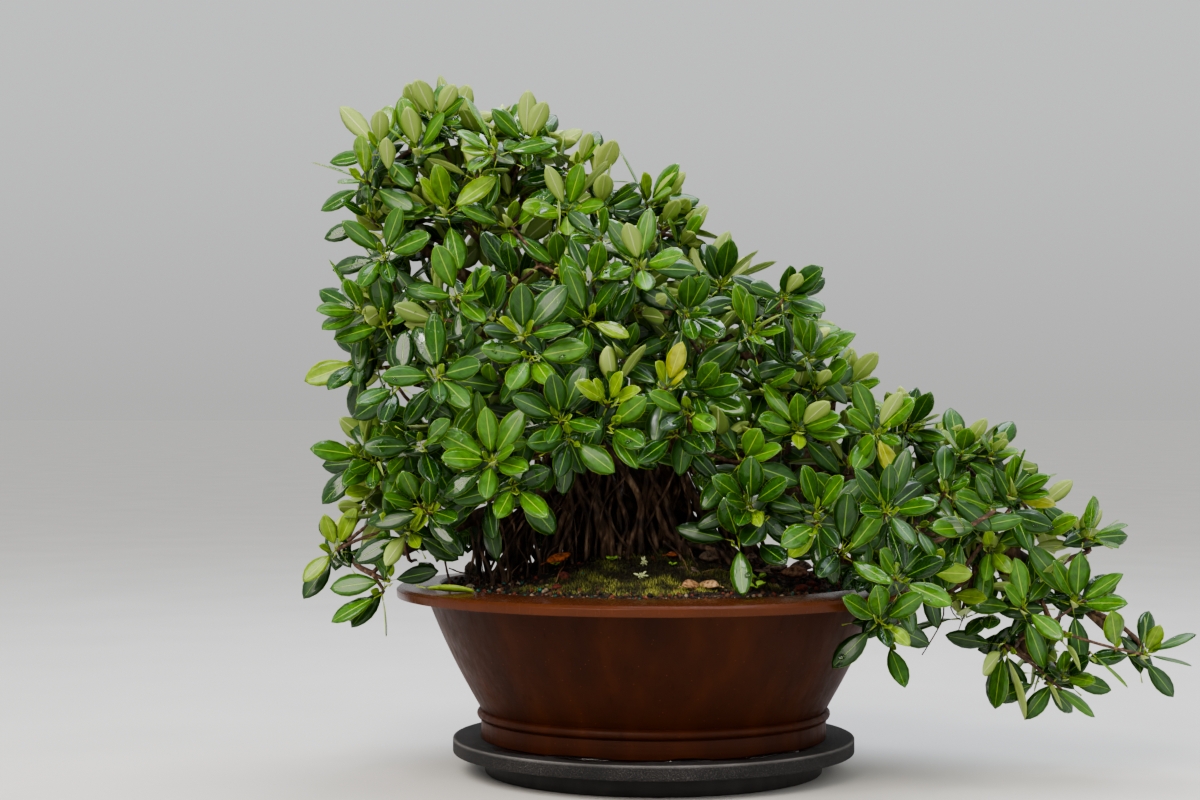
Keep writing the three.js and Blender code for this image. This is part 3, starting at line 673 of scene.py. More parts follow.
THICK_BARK, THIN_BARK = (0.0011, 120), (0.0004, 260)
roughened(wood_bm, *THICK_BARK)

# thinner roots between them, which lean and cross
thick_points = len(wood_bm.verts)
THIN_ROOTS, THIN_SPREAD, THIN_DEPTH, LOW_SWAY, HIGH_SWAY = 130, 1.08, 0.004, 0.034, 0.026
FINEST_ROOT, ROOT_RANGE = 0.0008, 0.0016
draw = random_stream(17)
for i in range(THIN_ROOTS):
    angle = 2 * math.pi * draw()
    out = math.sqrt(draw()) * THIN_SPREAD
    x = ROOTS_MIDDLE + ROOTS_SPREAD_X * out * math.cos(angle)
    y = ROOTS_SPREAD_Y * out * math.sin(angle)
    foot = Vector((x, y, soil_height(x, y) - THIN_DEPTH))
    top = root_top(x + 0.06 * (draw() - 0.5), y + 0.04 * (draw() - 0.5))
    low = foot.lerp(top, 0.3) + Vector((draw() - 0.5, draw() - 0.5, 0)) * LOW_SWAY
    high = foot.lerp(top, 0.65) + Vector((draw() - 0.5, draw() - 0.5, 0)) * HIGH_SWAY
    radius = FINEST_ROOT + ROOT_RANGE * draw() ** 1.5
    grow_tube(wood_bm, spaced([foot, low, high, top], 14), taper(radius * 1.3, radius, 14), 6)

# the roots that the photograph shows in front, read one by one: the pixels that each one passes, from the top
# down, and its radius in millimetres
SHOWN_ROOTS = [
    ([(574, 468), (583, 493), (599, 516), (607, 529), (604, 545)], 2.6),
    ([(586, 478), (597, 497), (610, 518), (612, 542)], 2.0),
    ([(566, 474), (572, 500), (572, 521), (561, 547)], 1.5),
    ([(619, 466), (632, 484), (640, 500), (641, 534)], 2.7),
    ([(616, 488), (624, 512), (627, 527), (620, 544)], 1.8),
    ([(650, 466), (645, 491), (640, 512), (631, 545)], 2.4),
    ([(656, 476), (647, 509), (652, 527), (656, 546)], 2.0),
    ([(648, 468), (663, 496), (672, 520), (680, 549)], 2.2),
    ([(674, 472), (656, 509), (641, 540)], 1.1),
    ([(655, 500), (669, 534), (686, 548)], 2.7),
    ([(668, 533), (683, 543), (701, 547), (716, 553)], 2.7),
    ([(690, 516), (701, 536), (719, 550), (729, 562)], 2.1),
    ([(663, 541), (679, 555), (683, 567)], 1.0),
    ([(690, 548), (694, 560), (700, 570)], 0.8),
    ([(585, 500), (577, 536), (565, 557)], 0.7),
    ([(547, 486), (556, 504), (572, 514), (576, 540)], 0.6),
    ([(600, 474), (590, 512), (586, 549)], 1.2),
    ([(628, 470), (606, 500), (596, 546)], 1.0),
    ([(684, 486), (690, 510), (684, 534)], 1.2),
    ([(490, 512), (494, 548), (504, 576)], 1.9),
    ([(500, 520), (507, 552), (508, 572)], 0.9),
    ([(513, 522), (518, 546), (527, 562)], 0.7),
    ([(541, 522), (547, 541), (544, 558)], 0.7),
    ([(446, 532), (445, 560), (450, 584)], 0.7),
    ([(449, 568), (459, 572), (479, 577)], 0.7),
    ([(491, 538), (482, 552), (482, 566), (486, 582)], 0.6),
    ([(541, 540), (528, 558), (512, 573)], 0.6),
    ([(575, 528), (560, 544), (548, 555)], 0.8),
    ([(470, 528), (474, 552), (468, 580)], 1.1),
    ([(524, 520), (508, 548), (494, 574)], 1.2),
    ([(533, 508), (534, 536), (540, 562)], 1.6),
    ([(478, 520), (480, 548), (492, 577)], 1.3),
]
# thin roots that hang in the air under the trailing limb, given the same way
HANGING_ROOTS = [
    ([(946, 600), (943, 618), (935, 634), (922, 655)], 0.6),
    ([(951, 603), (955, 616), (963, 621)], 0.55),
    ([(970, 604), (963, 618), (958, 632)], 0.5),
]
FRONT_OF_ROOTS, ROOT_STEP_BACK, HANGING_DEPTH = -0.054, 0.003, -0.012
SIGHT_START, SIGHT_STEP, SIGHT_STEPS = 1.58, 0.0002, 1600
LOOSE_EDGE = SOIL_EDGE - 0.005


def on_sight_line(pixel, y):
    """The point at a depth that the photograph shows at a pixel."""
    return CAMERA_PLACE + sight_line(*pixel[:2]) * (y - CAMERA_PLACE.y)


def on_soil(pixel):
    """Where the photograph's sight line at a pixel meets the soil, or else the soil that it nearly meets."""
    line = sight_line(*pixel)
    nearest, least = None, math.inf
    for step in range(SIGHT_STEPS):
        point = CAMERA_PLACE + line * (SIGHT_START + step * SIGHT_STEP)
        clear = point.z - soil_surface(point.x, point.y)
        if clear < least and math.hypot(point.x, point.y) < LOOSE_EDGE:
            nearest, least = Vector((point.x, point.y, soil_surface(point.x, point.y))), clear
        if nearest and clear < 0:
            break
    return nearest


for pixels, radius in SHOWN_ROOTS:
    depth = min(FRONT_OF_ROOTS, on_soil(pixels[-1]).y)
    path = [
        on_sight_line(pixel, depth + ROOT_STEP_BACK * (len(pixels) - i)) for i, pixel in enumerate(pixels)
    ]
    if path[0].z > LOWEST_TOP:
        path.insert(0, nodes_near(path[0] + Vector((0, 0.03, 0.03)))[0])
    foot = path[-1]
    path.append(Vector((foot.x, foot.y, soil_height(foot.x, foot.y) - 0.003)))
    count = 4 * len(path)
    grow_tube(wood_bm, spaced(path, count), taper(0.8 * radius * MM, 1.1 * radius * MM, count), 8)
roughened(wood_bm, *THIN_BARK, thick_points)
for pixels, radius in HANGING_ROOTS:
    path = [on_sight_line(pixel, HANGING_DEPTH) for pixel in pixels]
    path.insert(0, nodes_near(path[0])[0])
    grow_tube(wood_bm, spaced(path, 14), taper(1.3 * radius * MM, 0.7 * radius * MM, 14), 6)

# fig bark: thin and grey-brown, with darker damp patches and corky dots; darker in the folds and paler on the
# ridges, partly its own colour and partly painted shade and painted highlight
bark, shader = new_material("grey-brown fig bark", IOR=1.45)
where = add_node(bark, "TexCoord", {})
fissures = add_node(bark, "Mapping", {"Vector": where.outputs["Object"], "Scale": (260, 260, 90)})
fissures = add_node(bark, "TexNoise", {"Vector": fissures, "Scale": 1.0, "Detail": 6})
patches = add_node(bark, "TexNoise", {"Vector": where.outputs["Object"], "Scale": 55.0, "Detail": 4})
# partly painted light: the folds of the relief are painted darker as painted shade, the ridges paler as a
# painted highlight
tone = add_node(
    bark, "ValToRGB", {0: fissures},
    ramp=[(0.3, "#2a1c13"), (0.48, "#58412e"), (0.6, "#826650"), (0.78, "#b79e80")],
)
damp = add_node(bark, "ValToRGB", {0: patches}, ramp=[(0.35, "#6b5a4c"), (0.65, "#ffffff")])
barky = add_node(bark, "Mix", {0: 1.0, 6: tone, 7: damp}, data_type="RGBA", blend_type="MULTIPLY")
link(bark, barky, shader, "Base Color")
wetness = add_node(bark, "MapRange", {0: patches, 1: 0.35, 2: 0.65, 3: 0.5, 4: 0.85})
link(bark, wetness, shader, "Roughness")
bump = add_node(bark, "Bump", {"Height": fissures, "Strength": 0.7, "Distance": 0.0012})
link(bark, bump, shader, "Normal")

wood = make_piece("trunk_limbs_and_roots", wood_bm, bark)
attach(wood, "display")
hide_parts("trunk_and_roots")

# Leafy sprays
# Each spray is one leafy head, or two along a twig: reddish twigs that end in rosettes of thick leaves
# on short stalks, the oldest lowest and darkest, the youngest upright at the tip. Each head is given by
# its middle and, where it isn't a full one, the radius of its core, in millimetres.
SPRAYS = {
    "apex": [
        [(-160, -4, 472), (-198, -18, 450)],
        [(-97, 4, 462), (-132, 46, 420)],
        [(-130, -38, 430)],
        [(-190, 8, 404)],
    ],
    "left": [
        [(-190, -40, 352)], [(-192, 36, 346)], [(-192, 0, 302)], [(-190, -44, 238)], [(-196, 38, 226)],
        [(-208, -30, 149, 10), (-230, -6, 170, 9)],
    ],
    "ridge": [[(-46, -16, 430)], [(6, 20, 402)], [(48, -18, 358)], [(94, 18, 320)], [(134, -14, 276)]],
    "cascade": [
        [(190, 16, 244)], [(240, -14, 218)], [(286, 10, 190)], [(326, -6, 164, 13)],
        [(286, -24, 130, 12)],
        [(326, -10, 120, 10), (364, -12, 94, 8)],
        [(270, -6, 92, 10), (310, -8, 66, 8)],
        [(238, -14, 146, 14)], [(176, -52, 114, 10)], [(212, 52, 172)],
    ],
    "front": [
        [(-84, -64, 374)], [(-142, -84, 332)], [(-24, -80, 340)], [(-84, -108, 306)], [(36, -88, 304)],
        [(-148, -100, 264)], [(-26, -114, 270)], [(96, -76, 268)], [(-92, -116, 236)], [(34, -112, 240)],
        [(142, -74, 222)], [(-146, -90, 192)], [(92, -110, 200)], [(192, -60, 180)], [(138, -104, 162)],
        [(-184, -56, 182)],
    ],
    "back": [
        [(-84, 68, 366)], [(-140, 88, 318)], [(-26, 84, 330)], [(36, 90, 296)], [(-86, 114, 288)],
        [(-150, 98, 250)], [(-24, 118, 252)], [(92, 84, 262)], [(146, 76, 214)], [(88, 110, 204)],
    ],
}
SPINE = [
    Vector(p) * MM
    for p in [
        (-125, 0, 400), (-95, 0, 310), (-40, 0, 240), (80, 0, 215), (190, 0, 165), (300, 0, 95),
    ]
]
UPWARD = Vector((0, 0, 0.016))
CORE = 0.016
SMALL_LEAVES = 0.82
LEAF_LENGTH, LEAF_WIDTH, LEAF_APART, LEAF_SUNK = 0.042, 0.0172, 0.005, 0.004
STALK_SHARE = 0.16

# The rosettes that the photograph shows in front and on the skyline, read one by one: the pixel of each
# one's middle, then of its leaves' tips. A leaf marked u shows its underside and e its edge, t is turned
# half away, k leans back, b is young and bright, d old and dark, and y yellowing. A middle's third number
# is its depth in millimetres: in front of the pot's lip, or deep behind the stems.
SHOWN_ROSETTES = [
    ((418, 153), [(410, 109, "u"), (407, 104, "k"), (401, 96), (446, 117), (446, 150), (383, 121, "e")]),
    ((436, 121), [(418, 82, "u"), (443, 80, "k"), (459, 87, "u"), (466, 103), (461, 124)]),
    ((380, 149), [(340, 106, "u"), (388, 101, "k"), (384, 112, "u")]),
    ((366, 181), [(314, 160, "e"), (343, 185), (365, 139)]),
    ((389, 177), [(390, 139, "u")]),
    ((371, 217), [(369, 191), (346, 203)]),
    ((447, 212), [(440, 169), (425, 181), (496, 176)]),
    ((495, 152), [(468, 95, "e"), (460, 136), (464, 153), (471, 172)]),
    (
        (526, 144),
        [
            (529, 91, "u"), (516, 98, "k"), (547, 104, "u"), (552, 118, "k"),
            (495, 113), (556, 157), (507, 150), (528, 168),
        ],
    ),
    (
        (567, 212),
        [(547, 167, "u"), (582, 166), (606, 159, "e"), (523, 210), (536, 217), (601, 206), (569, 237)],
    ),
    ((580, 165), [(591, 136, "u"), (599, 143)]),
    ((601, 210), [(605, 175, "u"), (637, 186, "d"), (610, 167, "e")]),
    (
        (647, 205),
        [(621, 148, "e"), (642, 174, "b"), (640, 185, "d"), (678, 166), (685, 174, "u"), (668, 191)],
    ),
    ((661, 227), [(678, 201, "u"), (681, 223, "e")]),
    ((384, 255), [(347, 223), (402, 210), (432, 237), (395, 284), (364, 288)]),
    ((387, 325), [(379, 272), (337, 338), (429, 282), (416, 311)]),
    ((457, 297), [(438, 246), (491, 270), (422, 292), (483, 295), (486, 321)]),
    ((362, 312), [(323, 309), (327, 329), (351, 281), (329, 258, "e")]),
    ((438, 376), [(434, 310), (384, 376), (482, 364), (443, 402), (471, 405)]),
    ((361, 361), [(304, 381, "b"), (333, 387), (360, 384)]),
    ((398, 387), [(361, 403), (386, 421, "d")]),
    ((365, 457), [(315, 446), (373, 411, "e"), (378, 426)]),
    ((375, 461), [(387, 424, "e"), (355, 468), (348, 482), (389, 472, "u"), (376, 485)]),
    ((376, 489), [(348, 493, "b")]),
    ((409, 453), [(390, 422), (402, 435), (415, 468, "d"), (393, 470), (390, 497)]),
    ((423, 445), [(438, 437), (451, 420), (438, 482, "d")]),
    ((492, 461), [(437, 431), (487, 408), (524, 408), (444, 456), (488, 497), (515, 447), (528, 467)]),
    ((514, 486), [(499, 515), (548, 515), (548, 469, "d")]),
    ((587, 320), [(567, 267), (617, 281), (563, 253), (559, 302), (630, 338, "b"), (581, 358)]),
    ((523, 336), [(523, 287), (566, 284), (573, 327), (500, 320, "b"), (486, 330, "d")]),
    ((532, 357), [(484, 348), (587, 347), (512, 387), (551, 383)]),
    ((640, 266), [(608, 221), (626, 223, "u"), (650, 207), (681, 256), (646, 292), (602, 277)]),
    ((608, 403), [(574, 383, "b"), (592, 380, "b"), (623, 372, "b"), (641, 390, "b")]),
    ((609, 427), [(637, 465), (643, 443), (645, 398)]),
    ((667, 387), [(681, 343, "y"), (654, 362, "b"), (683, 372, "y")]),
    ((493, 316), [(505, 278), (480, 270)]),
    ((514, 280), [(507, 246), (483, 232, "d")]),
    ((561, 420), [(514, 396), (553, 373), (585, 363), (599, 426), (549, 441)]),
    ((570, 439), [(529, 442), (559, 474, "d"), (613, 470)]),
    ((592, 281), [(601, 246), (620, 266)]),
    ((601, 238), [(571, 241), (582, 229), (606, 212)]),
    ((559, 270), [(556, 236)]),
    ((688, 413), [(650, 393), (660, 427, "d"), (712, 428)]),
    ((676, 435), [(638, 460), (702, 450, "d")]),
    ((679, 247), [(700, 219), (694, 233, "u"), (668, 222)]),
    (
        (721, 286),
        [(707, 248), (728, 241), (775, 257, "e"), (747, 279), (740, 305), (754, 249, "e"), (700, 275)],
    ),
    ((686, 314), [(688, 279), (704, 279), (707, 313), (693, 338), (722, 337), (662, 287, "e")]),
    ((752, 333), [(745, 296), (777, 313, "e"), (781, 330), (735, 286), (757, 342)]),
    ((784, 298), [(787, 269), (798, 274, "u"), (816, 270), (802, 298), (820, 310), (813, 320), (750, 286)]),
    ((809, 359), [(795, 314), (808, 323), (833, 337), (851, 334), (839, 348), (792, 338)]),
    ((846, 389), [(874, 351, "u"), (833, 359), (875, 382)]),
    ((816, 389), [(803, 361), (826, 368, "u"), (843, 362)]),
    ((694, 392), [(714, 366), (738, 382), (680, 373), (705, 422), (745, 412)]),
    ((690, 420), [(711, 451)]),
    ((764, 387), [(746, 361), (792, 372)]),
    (
        (798, 430),
        [(763, 383), (794, 394), (826, 398, "u"), (756, 419), (844, 432), (836, 416), (796, 449, "b")],
    ),
    (
        (876, 433),
        [(854, 383), (897, 391, "u"), (908, 399), (845, 411), (850, 468), (895, 443), (893, 476, "y")],
    ),
    ((750, 505), [(711, 475), (749, 457), (745, 484), (784, 477), (726, 496), (758, 526, "b"), (736, 523)]),
    ((743, 461), [(757, 429), (777, 446)]),
    ((817, 512), [(802, 465), (837, 475)]),
    ((819, 524), [(787, 557, "b"), (780, 541), (832, 543, "d")]),
    ((739, 542), [(741, 592), (723, 498)]),
    ((769, 517), [(741, 541, "d")]),
    ((755, 541), [(783, 560, "d")]),
    ((842, 549), [(847, 490), (815, 572, "d")]),
    ((844, 557), [(883, 509), (889, 581)]),
    ((898, 580), [(876, 547), (937, 556, "d"), (949, 602)]),
    ((881, 622, -132), [(840, 594), (872, 583), (918, 591), (905, 642, "b"), (883, 640, "d")]),
    ((887, 641), [(900, 681)]),
    ((887, 512), [(853, 468), (885, 463), (856, 509), (909, 540), (931, 501), (908, 447)]),
    ((848, 468), [(868, 436)]),
    ((916, 527), [(970, 526), (929, 552)]),
    ((925, 572), [(938, 546, "b"), (973, 574, "b"), (947, 562)]),
    ((948, 594), [(983, 597, "b")]),
    ((908, 430), [(925, 393), (936, 418, "e"), (932, 447), (914, 439), (940, 438)]),
    ((961, 455), [(938, 431), (962, 428), (980, 416, "u"), (973, 444)]),
    ((992, 455), [(977, 435), (999, 436, "u"), (1010, 450)]),
    ((946, 491), [(936, 474), (960, 478)]),
    ((995, 510), [(973, 475), (952, 492)]),
    ((990, 548), [(980, 528, "b"), (979, 576), (1003, 570)]),
    (
        (1011, 495),
        [
            (1007, 478), (1040, 474), (1050, 471, "e"), (1050, 502, "y"), (1040, 490), (1009, 454),
            (1017, 446, "e"),
        ],
    ),
    ((965, 529), [(928, 526), (950, 512)]),
    ((1038, 536), [(1069, 515), (1049, 501, "k")]),
    ((1088, 538), [(1086, 495), (1117, 520, "t"), (1110, 544, "t")]),
    ((1076, 604), [(1029, 544), (1051, 559), (1075, 554), (1119, 572), (1118, 598)]),
    ((1025, 609), [(1055, 634), (999, 583), (1012, 557)]),
    ((1144, 654), [(1140, 614, "t"), (1153, 622, "b"), (1189, 630, "t"), (1182, 660, "t")]),
    ((1116, 651), [(1105, 609)]),
    ((1090, 652), [(1121, 681, "t")]),
    ((1047, 682), [(1055, 702, "e"), (1098, 714, "t")]),
    ((1005, 648), [(992, 709, "t"), (1027, 720, "e"), (973, 669, "u")]),
    ((1062, 641), [(1076, 664, "e")]),
    ((1062, 676), [(1080, 654, "d"), (1043, 663, "d"), (1086, 676), (1058, 648)]),
    ((336, 550), [(327, 512, "b"), (304, 581, "b"), (357, 507, "b")]),
    (
        (409, 530),
        [(382, 513, "b"), (391, 494), (425, 508, "b"), (432, 518, "b"), (422, 547, "b"), (388, 563, "u")],
    ),
    ((419, 505), [(406, 470), (389, 495)]),
    ((429, 511), [(433, 475), (459, 516)]),
    ((388, 581), [(329, 587), (440, 569, "d"), (385, 530)]),
    ((382, 594), [(331, 620, "t"), (393, 632, "e")]),
    # the deep rosettes behind the stems: their leaves are marked d and painted near the darkest tone as
    # painted shade
    ((447, 514, 20), [(447, 556, "d"), (425, 548, "d"), (462, 551), (431, 530, "d"), (473, 532)]),
    ((470, 508, 45), [(470, 549), (487, 541, "d"), (458, 550, "d"), (494, 520), (482, 552, "d")]),
    ((505, 512, 60), [(508, 552, "d"), (524, 545, "d"), (492, 560, "d"), (530, 530, "d")]),
    ((496, 498, 60), [(497, 538, "d"), (484, 530, "d"), (512, 526, "d")]),
    ((540, 504, 80), [(541, 547, "d"), (556, 535, "d"), (527, 538, "d")]),
    ((416, 560, 10), [(424, 577, "d"), (436, 571, "d"), (445, 578, "d")]),
    ((872, 560, -100), [(853, 588, "d"), (868, 590, "d"), (840, 584, "d")]),
]
# bare twigs: the pixels that they run between, and their radius in millimetres
SHOWN_TWIGS = [
    ((948, 592), (1010, 509), 1.9), ((929, 543), (995, 511), 1.9), ((1003, 645), (1062, 690), 1.2),
    ((1055, 628), (1140, 654), 1.3), ((336, 550), (390, 529), 1.3), ((1020, 640), (1085, 600), 1.3),
]


def facing(centre):
    """A head faces away from the line that the canopy spreads from, and up."""
    nearest = None
    for a, b in zip(SPINE, SPINE[1:]):
        share = (centre - a).dot(b - a) / (b - a).length_squared
        spot = a.lerp(b, min(1.0, max(0.0, share)))
        if nearest is None or (spot - centre).length < (nearest - centre).length:
            nearest = spot
    return (centre - nearest + UPWARD).normalized()


def leaning(axis, lean, around):
    """A direction that leans from an axis by one angle and stands round it by another."""
    side = Vector((0.31, 0.22, 0.93)).cross(axis).normalized()
    other = axis.cross(side)
    return (
        axis * math.cos(lean) + side * math.sin(lean) * math.cos(around)
        + other * math.sin(lean) * math.sin(around)
    )


# the leaf's pattern is flat: x across from -1 to 1, y along the blade from 0 to 1, z 1 above and -1 below
BLADE_ALONG, BLADE_ACROSS = 7, 4
leaf_bm = bmesh.new()
leaf_bm.loops.layers.uv.new("UVMap")
bmesh.ops.create_grid(
    leaf_bm, x_segments=BLADE_ACROSS, y_segments=BLADE_ALONG, size=0.5, calc_uvs=True,
    matrix=Matrix.Translation((0, 0.5, 0)),
)
above = leaf_bm.faces[:]
below = bmesh.ops.duplicate(leaf_bm, geom=leaf_bm.verts[:] + leaf_bm.edges[:] + above)["geom"]
below = [g for g in below if isinstance(g, bmesh.types.BMFace)]
bmesh.ops.reverse_faces(leaf_bm, faces=below)
for face in below:
    face.material_index = 1
above_points = {v for face in above for v in face.verts}
for vertex in leaf_bm.verts:
    x, y = 2 * vertex.co.x, vertex.co.y
    y += 0.55 * (0.5 - 0.5 * math.cos(math.pi * y) - y)
    inside = abs(x) < 0.99 and 0.01 < y < 0.99
    side = 1 if vertex in above_points else -1
    at_end = y < 0.01 or y > 0.99
    vertex.co = (0 if at_end else x, y, side if inside else 0)
bmesh.ops.remove_doubles(leaf_bm, verts=leaf_bm.verts, dist=1e-4)
stalk = bmesh.ops.create_cone(
    leaf_bm, cap_ends=True, segments=4, radius1=1, radius2=1, depth=1,
    matrix=Matrix.Translation((0, -0.5, 0)) @ Matrix.Rotation(math.pi / 2, 4, "X"),
)
for face in {f for v in stalk["verts"] for f in v.link_faces}:
    face.material_index = 2
leaf_mesh = as_mesh(leaf_bm, "leaf")


def blade_half(share):
    """Half the blade's width along it: a wedge from the stalk, widest past the middle, a short tip."""
    return 3.5 * share * (1 - share) ** 0.82 if 0 < share < 1 else 0.0


def leaf_shape(root, along, up, size, fold, sag, roll, twist, slim=1.0):
    """A placement that gives the flat pattern the form of one leaf. The fold is each half's angle."""
    across = along.cross(up)
    length, width = LEAF_LENGTH * size, LEAF_WIDTH * size * slim
    spread, lift = math.cos(fold), math.sin(fold)

    def placed(point):
        if point.y < 0:
            share = STALK_SHARE * (1 + point.y) * 1.15
            sideways, rise = point.x * 0.00075, point.z * 0.0006
        else:
            share = STALK_SHARE + (1 - STALK_SHARE) * point.y
            half = blade_half(point.y) * width / 2
            sideways = point.x * half * spread
            rise = half * (lift * abs(point.x) - roll * point.x**2) + 0.00045 * point.z
            angle = twist * point.y
            sideways, rise = (
                sideways * math.cos(angle) - rise * math.sin(angle),
                sideways * math.sin(angle) + rise * math.cos(angle),
            )
        rise -= sag * share * share * length
        return root + along * (share * length) + across * sideways + up * rise

    return placed


def square_to(along, near):
    """The direction square to the first that is nearest to the second."""
    return (near - along * along.dot(near)).normalized()


def rosette_leaf(centre, axis, lean, around, size, **form):
    """A leaf that stands a little out from its rosette's axis."""
    along = leaning(axis, lean, around)
    root = centre + square_to(axis, along) * LEAF_APART * 0.5 - axis * LEAF_SUNK
    return leaf_shape(root, along, square_to(along, axis), size, **form)


ROSETTES_PER_HEAD = 3
LEAVES_PER_ROSETTE, FEWER_LEAVES = [3, 3, 2], [2, 2, 2]
draw = random_stream(29)
vary = random_stream(83)


def leaf_form(young):
    """How a leaf is bent: the young ones are folded and curve up, the old ones arch down."""
    return {
        "fold": 0.12 + 0.16 * young + 0.12 * vary(),
        "sag": 0.14 - 0.16 * young + 0.14 * (vary() - 0.5),
        "roll": 0.18 * (1 - young),
        "twist": 0.5 * (vary() - 0.5),
        "slim": 0.86 + 0.28 * vary(),
    }


heads = [
    (f"spray_{region}_{index + 1}", Vector(p[:3]) * MM, (p[3] * MM if len(p) > 3 else CORE))
    for region, places in SPRAYS.items()
    for index, place in enumerate(places)
    for p in place
]
leaves = {name: [] for name, _, _ in heads}
twigs = {name: [] for name, _, _ in heads}


def in_pot(point):
    """Whether a point lies in the pot or in its soil."""
    out = math.hypot(point.x, point.y)
    if point.z < LIP_UNDER:
        return out < wall_radius((point.z - wall_low) / (LIP_UNDER - wall_low))
    if out < LIP_INNER:
        return point.z < soil_height(point.x, point.y)
    return out < POT_RIM and point.z < LIP_TOP + LIP_RISE


def add_leaf(name, placement, tone):
    """Keeps a leaf with its tone and its wetness, unless it would pass through the pot."""
    wet = vary()
    spots = [Vector((across, along / 5, 0)) for across in (-0.8, 0, 0.8) for along in range(6)]
    if not any(in_pot(placement(spot)) for spot in spots):
        leaves[name].append((placement, min(1.0, max(0.0, tone)), wet))


def add_twig(name, points, start, end):
    twigs[name].append((spaced(points, 2 * len(points)), taper(start, end, 2 * len(points))))


def head_behind(pixel):
    """The head that something at a pixel grows from: near its sight line, and rather one in front."""
    return min(heads, key=lambda h: (on_sight_line(pixel, h[1].y) - h[1]).length + 0.4 * h[1].y)


ROSETTE_AHEAD, TWIG_AHEAD = 0.012, 0.024
SHOWN_TWIG, CHANCE_TWIG, HEAD_TWIG = (0.0016, 0.0011), (0.0017, 0.0013), (0.0024, 0.0017)
TONE_OF_KIND = {"b": 0.74, "y": 0.95, "d": 0.06, "u": 0.42}
LENGTH_OF_KIND = {"b": 0.8, "y": 0.85}
shown_tips = []
for pixel, tips in SHOWN_ROSETTES:
    name, centre, core = head_behind(pixel)
    depth = pixel[2] * MM if len(pixel) > 2 else centre.y - 1.1 * core - ROSETTE_AHEAD
    deep = len(pixel) > 2 and depth > 0
    tip = on_sight_line(pixel, depth)
    if not deep:
        shown_tips.append(tip)
    bend_x, bend_z = centre.x + 0.75 * (tip.x - centre.x), 0.4 * centre.z + 0.6 * tip.z - 0.003
    add_twig(name, [centre, Vector((bend_x, centre.y + 0.004, bend_z)), tip], *SHOWN_TWIG)
    mood = 0.25 + 0.25 * vary() + 0.12 * (tip.z > 0.4) + 0.10 * (tip.x > 0.2)
    reach = [on_sight_line(leaf_tip, tip.y) - tip for leaf_tip in tips]
    middle = sum(reach, Vector()) / len(reach)
    axis = (Vector((0, -1, 0.35)) + middle * 14).normalized()
    for leaf_tip, across_view in zip(tips, reach):
        kind = leaf_tip[2] if len(leaf_tip) > 2 else ""
        whole = LEAF_LENGTH * LENGTH_OF_KIND.get(kind, 1.0)
        towards = min(math.sqrt(max(0.0, whole**2 - across_view.length_squared)), 0.7 * whole)
        along = across_view - Vector((0, -0.5 * towards if kind == "k" else towards, 0))
        size = along.length / LEAF_LENGTH
        along.normalize()
        hint = axis
        if kind == "u":
            hint = Vector((0, 1, 0.3))
        if kind in ("e", "t"):
            hint = Vector((-along.z, 0.2, along.x)) * (1 if along.x > 0 else -1)
        if kind == "t":
            hint = hint.normalized() + 0.8 * axis
        up = square_to(along, hint)
        young = 0.8 if kind == "b" else 0.25
        form = leaf_form(young)
        form["sag"] *= 0.5
        form["slim"] *= 0.84 if kind == "u" else 1.0
        tone = TONE_OF_KIND.get(kind, mood + 0.18 * (vary() - 0.4))
        add_leaf(name, leaf_shape(tip, along, up, size, **form), tone)
    if deep:
        continue
    start = 2 * math.pi * vary()
    for i in range(2 if len(tips) > 2 else 1):
        young = (0.25 + 0.2 * vary(), start + i * GOLDEN_ANGLE, 0.34 + 0.12 * i)
        add_leaf(name, rosette_leaf(tip, axis, *young, **leaf_form(1.0)), 0.7)
    for i in range(3 if len(tips) > 1 else 0):
        old = (1.45 + 0.3 * vary(), start + (i + 0.5) * 2.1, 0.85 + 0.2 * vary())
        add_leaf(name, rosette_leaf(tip + Vector((0, 0.01, 0)), axis, *old, **leaf_form(0.0)), mood - 0.2)
    # two leaves deep behind the rosette's middle, given a tone near the darkest as painted shade, for the
    # shade they stand in
    for i in range(2 if len(tips) > 2 else 0):
        along = leaning(axis, 1.5, start + 1.2 + i * GOLDEN_ANGLE)
        behind = tip + Vector((0, 0.016 + 0.007 * i, 0)) - along * 0.6 * LEAF_LENGTH
        add_leaf(name, leaf_shape(behind, along, square_to(along, axis), 1.0, **leaf_form(0.0)), 0.1)

for *ends, radius in SHOWN_TWIGS:
    name, centre, core = head_behind(ends[0])
    a, b = (on_sight_line(pixel, centre.y - TWIG_AHEAD) for pixel in ends)
    sway = Vector((vary() - 0.5, 0.2, vary() - 0.5)) * 0.006
    knots = [centre, a.lerp(centre, 0.15), a, a.lerp(b, 0.5) + sway, b]
    add_twig(name, knots, 1.2 * radius * MM, 0.8 * radius * MM)

SHOWN_REACH, SHOWN_DEPTH = 0.031, 0.030


def before_shown(point):
    """Whether a point is in front of a rosette that is placed by the photograph, or among its leaves."""
    for tip in shown_tips:
        line = tip - CAMERA_PLACE
        on_line = CAMERA_PLACE + line * ((point.y - CAMERA_PLACE.y) / line.y)
        if point.y < tip.y + SHOWN_DEPTH and (on_line - point).length < SHOWN_REACH:
            return True
    return False


